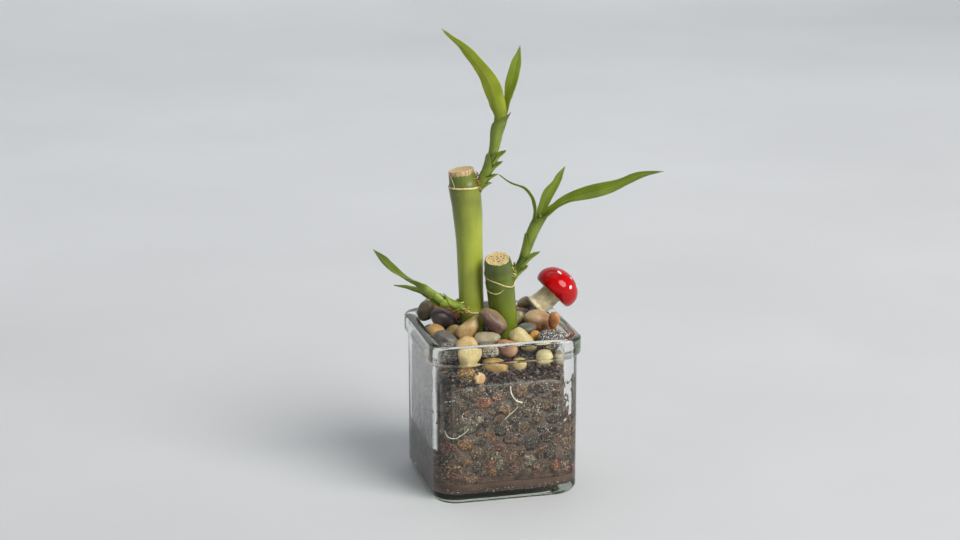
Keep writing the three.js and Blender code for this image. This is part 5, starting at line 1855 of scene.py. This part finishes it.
@dataclass
class Plant:
    """The two stalks, their three shoots and all the leaves."""

    tall: Cane = field(default_factory=lambda: Cane(
        "tall_stalk",
        [
            (-7, 6.8, 42), (-8.4, 7.2, 86), (-9.1, 7.4, 105), (-9.6, 7.6, 124), (-11.2, 7.9, 149),
            (-14, 8.5, 165.8),
        ],
        [(0, 6.2), (50, 6.4), (82, 6.8), (104, 7.7), (112, 8), (125, 6.6)],
        [48.4, 115.5],
        # darker just below each node, above the upper one and below the lower one, where it stands among the
        # pebbles: painted shade
        CaneSkin("waxy_yellow_green_skin", (
            (0.0, "#49601c"), (0.375, "#3f561c"), (0.4, "#879a2a"), (0.6, "#93a030"), (0.72, "#8b992e"),
            (0.79, "#77852a"), (0.87, "#525f1c"), (0.925, "#4a581a"), (1.0, "#52642a"),
        # the paler colour is painted light on the side towards the lamp
        ), "#bac446", 0.982),
        CutPith("dry_tan_pith", "#d8c090", "#8a6a42", 1.3, 0.12),
    ))
    short: Cane = field(default_factory=lambda: Cane(
        "short_stalk",
        [(10.7, 2.3, 44.1), (8.3, 1.2, 70.1), (6.3, -0.1, 90.1), (3.9, -3, 108.1), (1.4, -7.2, 121.5)],
        [(0, 6.4), (46, 7.1), (68, 7.4), (74, 7.3), (80, 6.5)],
        [64.5, 70.5],
        CaneSkin("waxy_deep_green_skin", (
            (0.0, "#3c5218"), (0.45, "#5c721a"), (0.62, "#51641a"), (0.78, "#40511a"), (0.9, "#4e6028"),
            (1.0, "#4c5c28"),
        # the paler colour is painted light on the side towards the lamp
        ), "#87992a", 1.2),
        CutPith("pale_pith_with_vessels", "#e2cc92", "#54361a", 1.5, 0.25),
    ))

    SHOOTS = (
        Shoot(
            "top_shoot",
            [
                (-7, 6.4, 153), (-2.4, 4, 163), (1.6, 1.9, 175.5), (3.4, 1.8, 184.2), (5, 1.9, 192),
                (6.6, 2, 197.5),
            ],
            [
                Scale(0.06, (1, -0.5, 0), 7, 2.5),
                Scale(0.1, (-1, -0.6, 0), 10, 1),
                Scale(0.14, (1, -0.3, 0), 8.5, 3),
                Scale(0.24, (-1, -0.5, 0), 13, 1.9),
                Scale(0.26, (1, 0, 0), 9, 3.2),
                Scale(0.38, (1, 0.1, 0), 9, 3.4),
            ],
            Sheath(0.45, (1, -0.3, 0), (2.1, 3.1), 0.62, (-0.6, 4.2)),
        ),
        Shoot(
            "side_shoot",
            [
                (6.3, -3.8, 104.1), (15, -5, 118.5), (19.4, -5.9, 130.9), (22.3, -6.5, 138.2),
                (24.3, -6.7, 142.6),
            ],
            [
                Scale(0.14, (-1, -0.2, 0.3), 9, 1.6),
                Scale(0.2, (1, 0.2, 0), 8, 2),
                Scale(0.32, (1, 0.1, 0), 12, 3.8),
                Scale(0.46, (-1, -0.2, 0.3), 12.5, 1.8),
            ],
            Sheath(0.44, (1, -0.25, -0.3), (2.1, 2.9), 0.7, (3.7, 3.6)),
        ),
        Shoot(
            "base_shoot",
            [(-10, 6, 92.4), (-20.6, 4.7, 95.6), (-26.1, 5, 98.7), (-30.7, 5.7, 102.3), (-34.6, 6.6, 105.6)],
            [
                Scale(0.06, (0, -0.5, -1), 8, 1.6),
                Scale(0.3, (0, -0.2, 1), 8.5, 2.4),
                Scale(0.4, (0, -1, -0.3), 6.5, 1),
            ],
        ),
    )

    LEAVES = (
        LeafPlan(
            "top_shoot", "top_leaf_big", 0.7, 0.9, (-0.5, -0.87, 0), (2.6, 3.1),
            [
                (1.9, 0, 203), (-0.6, 0.2, 211), (-4.4, -0.6, 217.4), (-9.2, -1.8, 223.8), (-15, -3.2, 230.2),
                (-26.8, -5.2, 240.8),
            ],
            (0.2, 0.8, 0.7), 4.9, wrap=1.7, neck=1.0, widest=0.34, taper=0.62, channel=2, wave=1.1,
            skin="big_leaf",
        ),
        LeafPlan(
            "top_shoot", "top_leaf_upright", 0.8, 0.97, (1, 0.2, 0), (2.8, 2.7),
            [(10.6, 2.6, 206), (12, 3, 213), (13.8, 3.9, 220), (15.4, 4.9, 225), (16.6, 6.1, 229)],
            (0, -1.2, 0.2), 3.6, wrap=0.8, skin="upright_leaf",
        ),
        LeafPlan(
            "top_shoot", "top_leaf_small", 0.68, 0.88, (0.5, 0.87, 0), (3.4, 4.2),
            [(9.6, 6.6, 199), (12.2, 7.9, 203), (14.5, 9.2, 207.4)],
            (-0.6, -0.8, 0.3), 1.7, wrap=0.85, skin="small_leaf",
        ),
        LeafPlan(
            "side_shoot", "side_leaf_curled", 0.79, 0.88, (-1, -0.2, 0.4), (2.2, 2.4),
            [
                (20.7, -8, 145.1), (20.2, -8.2, 149.1), (18.5, -8.6, 153.7), (14.7, -8.6, 158.2),
                (8.2, -8.2, 161.1), (2.3, -7.8, 165.6),
            ],
            (0.4, 0.1, 1), 2.1, wrap=1.4,
        ),
        LeafPlan(
            "side_shoot", "side_leaf_long", 0.72, 0.97, (1, 0, -0.3), (2.3, 2.6),
            [
                (30, -8.5, 145), (33.3, -9.7, 148.3), (38.1, -11.7, 151.5), (45.2, -14.5, 154.3),
                (52.7, -17.6, 156.6), (60.3, -20.6, 159.6), (71.5, -25.2, 165.4), (82.3, -30, 167.9),
            ],
            (-0.2, -1, 0.8), 4.3, foot=0.55, neck=0.78, widest=0.535, taper=0.56,
        ),
        LeafPlan(
            "base_shoot", "base_leaf_main", 0.74, 0.95, (0, -0.3, -1), (2.9, 2.8),
            [
                (-38.6, 5.8, 106.4), (-42.9, 6.2, 109.2), (-49.2, 6.6, 114), (-53.9, 6.6, 118.8),
                (-57.6, 6.3, 123.3), (-60.7, 6, 126.9),
            ],
            (0.4, -0.8, 0.8), 4.3, neck=0.95, skin="base_leaf",
        ),
        LeafPlan(
            "base_shoot", "base_leaf_lower", 0.42, 0.62, (0, 0.8, -0.6), (3.4, 4.1),
            [(-36.4, 11.4, 102), (-42, 13.8, 103.4), (-48.1, 16.2, 104.4)],
            (0, -0.3, 1), 1.8, wrap=1.1,
        ),
    )

    # each dry fibre's name, pale colour and deep colour
    FIBRES = (
        ("dry_sheath_edge", "#f0e0ae", "#cfae70"),
        ("dry_root_fibre", "#dcae6c", "#92602e"),
        ("young_root_tips", "#dcd27c", "#a8a14a"),
        ("yellow_root_fibre", "#ecd88e", "#b4903e"),
    )

    # each skin's name, its colour at the foot, the middle and the tip, the light through it, and how much
    SKINS = (
        ("young_stem_skin", "#55681f", "#5f7424", "#6a7e28", "#a2b43c", 0.08),
        ("scale_leaf_skin", "#84983a", "#98aa42", "#768a2c", "#c6d44c", 0.2),
        ("base_stem_skin", "#93a83c", "#9fb44a", "#a6ba52", "#c4d45c", 0.1),
        ("base_scale_skin", "#b0c056", "#a2b648", "#7f9834", "#c8d466", 0.18),
        ("long_sheath_skin", "#94a63e", "#8b9d3c", "#4f651c", "#bccc4c", 0.2),
        ("big_leaf_skin", "#a0ae3c", "#b2bc3e", "#94a63c", "#d6e04c", 0.45),
        ("upright_leaf_skin", "#aab848", "#a4b644", "#7c9030", "#d0dc4c", 0.42),
        # darker than the other leaves: painted shade, as this leaf stands behind the upright one
        ("small_leaf_skin", "#55691f", "#6a8226", "#6c822c", "#a3b83e", 0.25),
        ("base_leaf_skin", "#a9ba50", "#7e922c", "#556b1e", "#a8be40", 0.26),
        ("leaf_skin", "#6e8228", "#8a9c36", "#76882e", "#bcd040", 0.38),
    )

    # the dry edges of old sheaths: stalk, name, width in mm, and the way as (degrees round it, height)
    SCARS = (
        ("tall", "tall_upper_ring", 1.15,
         [(-180, 115.5), (-92, 116.4), (-32, 116), (4, 115.4), (52, 114.2), (92, 114.4), (180, 115.5)]),
        ("tall", "tall_lower_ring", 1.1,
         [(-180, 49.5), (-80, 50.3), (-36, 50.4), (0, 49), (40, 48.6), (80, 49.6), (180, 49.5)]),
        ("tall", "tall_sheath_line", 0.55, [(-58, 122.6), (-52, 121.6), (-42, 118.6), (-34, 116.2)]),
        ("short", "short_upper_ring", 0.8,
         [(-100, 72.4), (-72, 70.5), (-20, 69), (28, 65), (62, 63), (88, 65), (94, 69), (92, 73)]),
        ("short", "short_lower_ring", 0.75,
         [(-96, 63), (-70, 61.6), (-48, 61.3), (-24, 61), (-4, 61.8), (14, 63.8)]),
        ("short", "short_edge_line", 0.5, [(-84, 74), (-86, 70), (-82, 65), (-84, 62)]),
    )

    # the root collars: finish, name, stalk, and the sizes of a RootCollar in its own order
    ROOTS = (
        ("dry_root_fibre", "tall_root_fibres", "tall", 117, 88, 34, 2.6, 26, (1.6, 4.2), (0.22, 0.42), 3),
        ("young_root_tips", "base_root_tips", "tall", 51.5, -80, 42, 3.2, 30, (1.4, 3.4), (0.35, 0.6), 5),
        ("yellow_root_fibre", "base_root_ring", "tall", 50.6, -46, 36, 1.5, 40, (1.0, 2.8), (0.28, 0.5), 9),
        ("dry_sheath_edge", "side_root_fibres", "short", 70, 92, 26, 3.4, 16, (1.4, 4.4), (0.2, 0.4), 8),
    )

    def youngest_leaf(self) -> Leaf:
        """The leaf that stands on the tip of the side shoot."""
        spine = Axis(
            [
                (23.0, -6.7, 140.4), (25.9, -6.2, 147.8), (28.9, -5.5, 154), (32.7, -5.1, 158.7),
                (35.5, -4.3, 163.3), (38.3, -3.4, 167.2),
            ]
        )
        stations = [(0, 1.2, 1.7), (0.2, 2.4, 3.4), (0.45, 3, 5), (0.75, 1.9, 4.6), (1, 0.4, 3)]
        return Leaf(
            "side_leaf_upright_blade", spine, Vector((0.2, 1, -0.2)), Vector((-0.2, -1, 0.2)), 0.0, stations
        )

    def build(self) -> None:
        """Builds stalks, scars, roots, shoots and leaves."""
        self.tall.body()
        self.short.body()
        fibres = {row[0]: DryFibre(*row).material() for row in self.FIBRES}
        for cane, name, width, way in self.SCARS:
            getattr(self, cane).scar(name, way, width, fibres["dry_sheath_edge"])
        for finish, name, cane, *sizes in self.ROOTS:
            RootCollar(name, getattr(self, cane), *sizes).build(fibres[finish])
        skins = {row[0]: BladeSkin(*row).material() for row in self.SKINS}
        shoots = {shoot.name: shoot for shoot in self.SHOOTS}
        for shoot in self.SHOOTS:
            pale = shoot.name == "base_shoot"
            stem = skins["base_stem_skin" if pale else "young_stem_skin"]
            scale = skins["base_scale_skin" if pale else "scale_leaf_skin"]
            shoot.build(stem, scale, skins["long_sheath_skin"])
        for plan in self.LEAVES:
            plan.leaf(shoots[plan.shoot]).build(skins[plan.skin + "_skin"], [plan.name])
        self.youngest_leaf().build(skins["leaf_skin"], ["side_leaf_upright"])


# ---------------- the studio

LIGHT_PATHS = 32  # bounces: light runs a long way inside the rim and the base before it leaves the glass


@dataclass
class Studio:
    """A pale floor that sweeps up to a backdrop, soft lamps, and the camera at the photograph's angle."""

    lens: float = 80.08
    eye: Point = (-265.511, -1032.001, 403.45)
    right: Point = (0.9698, -0.2439, 0.0)
    up: Point = (0.06402, 0.25456, 0.96494)
    back: Point = (-0.23536, -0.93579, 0.26249)

    def sweep(self) -> None:
        """The floor and backdrop as one bent sheet."""
        mesh = bmesh.new()
        bmesh.ops.create_grid(mesh, x_segments=2, y_segments=60, size=1.0)
        wide, near, far, bend = 3200.0, -1900.0, 1500.0, 600.0
        for vert in mesh.verts:
            run = (vert.co.y + 1) / 2 * 6200
            flat = far - near
            if run < flat:
                y, z = near + run, 0.0
            else:
                angle = min((run - flat) / bend, pi / 2)
                rest = max(0.0, run - flat - bend * pi / 2)
                y, z = far + bend * sin(angle), bend * (1 - cos(angle)) + rest
            vert.co = Vector((vert.co.x * wide, y, z))
        paper = PlainSpeckle("pale_grey_sweep", "#cfd1d4", "#c9cbce", 0.75, 220.0).material()
        finished(mesh, "studio_sweep", [paper], staged=True)

    def lamp(
        self, name: str, place: Point, goal: Point, size: Sequence[float], power: float, colour: str
    ) -> None:
        """Adds a soft rectangular lamp.

        Args:
            name: The lamp's name.
            place: Where it stands, in millimetres.
            goal: Where it points.
            size: Its width and height.
            power: Its power in watts.
            colour: Its colour.
        """
        light = bpy.data.lights.new(name, "AREA")
        light.shape = "ELLIPSE" if "octabox" in name else "RECTANGLE"
        light.size, light.size_y = (s * MM for s in size)
        light.energy = power
        light.color = linear(colour)[:3]
        lamp = bpy.data.objects.new(name, light)
        lamp.location = Vector(place) * MM
        aim = Vector(place) - Vector(goal)
        lamp.rotation_euler = aim.to_track_quat("Z", "Y").to_euler()
        bpy.context.scene.collection.objects.link(lamp)

    def camera(self) -> None:
        """The camera at the photograph's place and angle."""
        data = bpy.data.cameras.new("photo_camera")
        data.lens = self.lens
        data.sensor_width = 36.0
        data.clip_start, data.clip_end = 0.01, 50.0
        camera = bpy.data.objects.new("photo_camera", data)
        turn = Matrix((self.right, self.up, self.back)).transposed()
        camera.matrix_world = Matrix.Translation(Vector(self.eye) * MM) @ turn.to_4x4()
        bpy.context.scene.collection.objects.link(camera)
        bpy.context.scene.camera = camera

    def world(self) -> None:
        """A dim room: pale walls round about and a dark ceiling, which the glass shows at its edges."""
        world = bpy.data.worlds.new("studio_air")
        world.use_nodes = True
        tree = world.node_tree
        way = add_node(tree, "TexCoord", {}).outputs["Generated"]
        height = add_node(tree, "SeparateXYZ", {"Vector": way}).outputs[2]
        greys = [(0.0, "#c4c6c8"), (0.12, "#bcbec0"), (0.4, "#888a8c"), (1.0, "#525456")]
        room = add_ramp(tree, height, greys)
        tree.links.new(room, tree.nodes["Background"].inputs["Color"])
        bpy.context.scene.world = world

    def build(self) -> None:
        """Builds the studio."""
        self.camera()
        self.sweep()
        self.world()
        self.lamp("key_octabox", (1350, -1859, 2030), (0, 0, 90), (2100, 2100), 102.0, "#fffdf8")
        self.lamp("top_panel", (-200, 200, 1900), (0, 0, 60), (1600, 1600), 4.8, "#fcfdff")
        self.lamp("back_wash", (0, 700, 1500), (0, 2000, 500), (2400, 600), 11.0, "#fcfdff")
        scene = bpy.context.scene
        scene.cycles.max_bounces = LIGHT_PATHS
        scene.cycles.transmission_bounces = LIGHT_PATHS
        scene.cycles.glossy_bounces = LIGHT_PATHS
        scene.view_settings.view_transform = "Standard"
        scene.view_settings.look = "None"


def main() -> None:
    """Builds every piece in order."""
    logging.basicConfig(level=logging.INFO, format="%(name)s: %(message)s")
    Studio().build()
    jar = SquareJar()
    jar.build(PressedGlass().material())
    Fill(jar).build()
    PebbleHeap(jar).build()
    Plant().build()
    Toadstool().build()


if __name__ == "__main__":
    main()
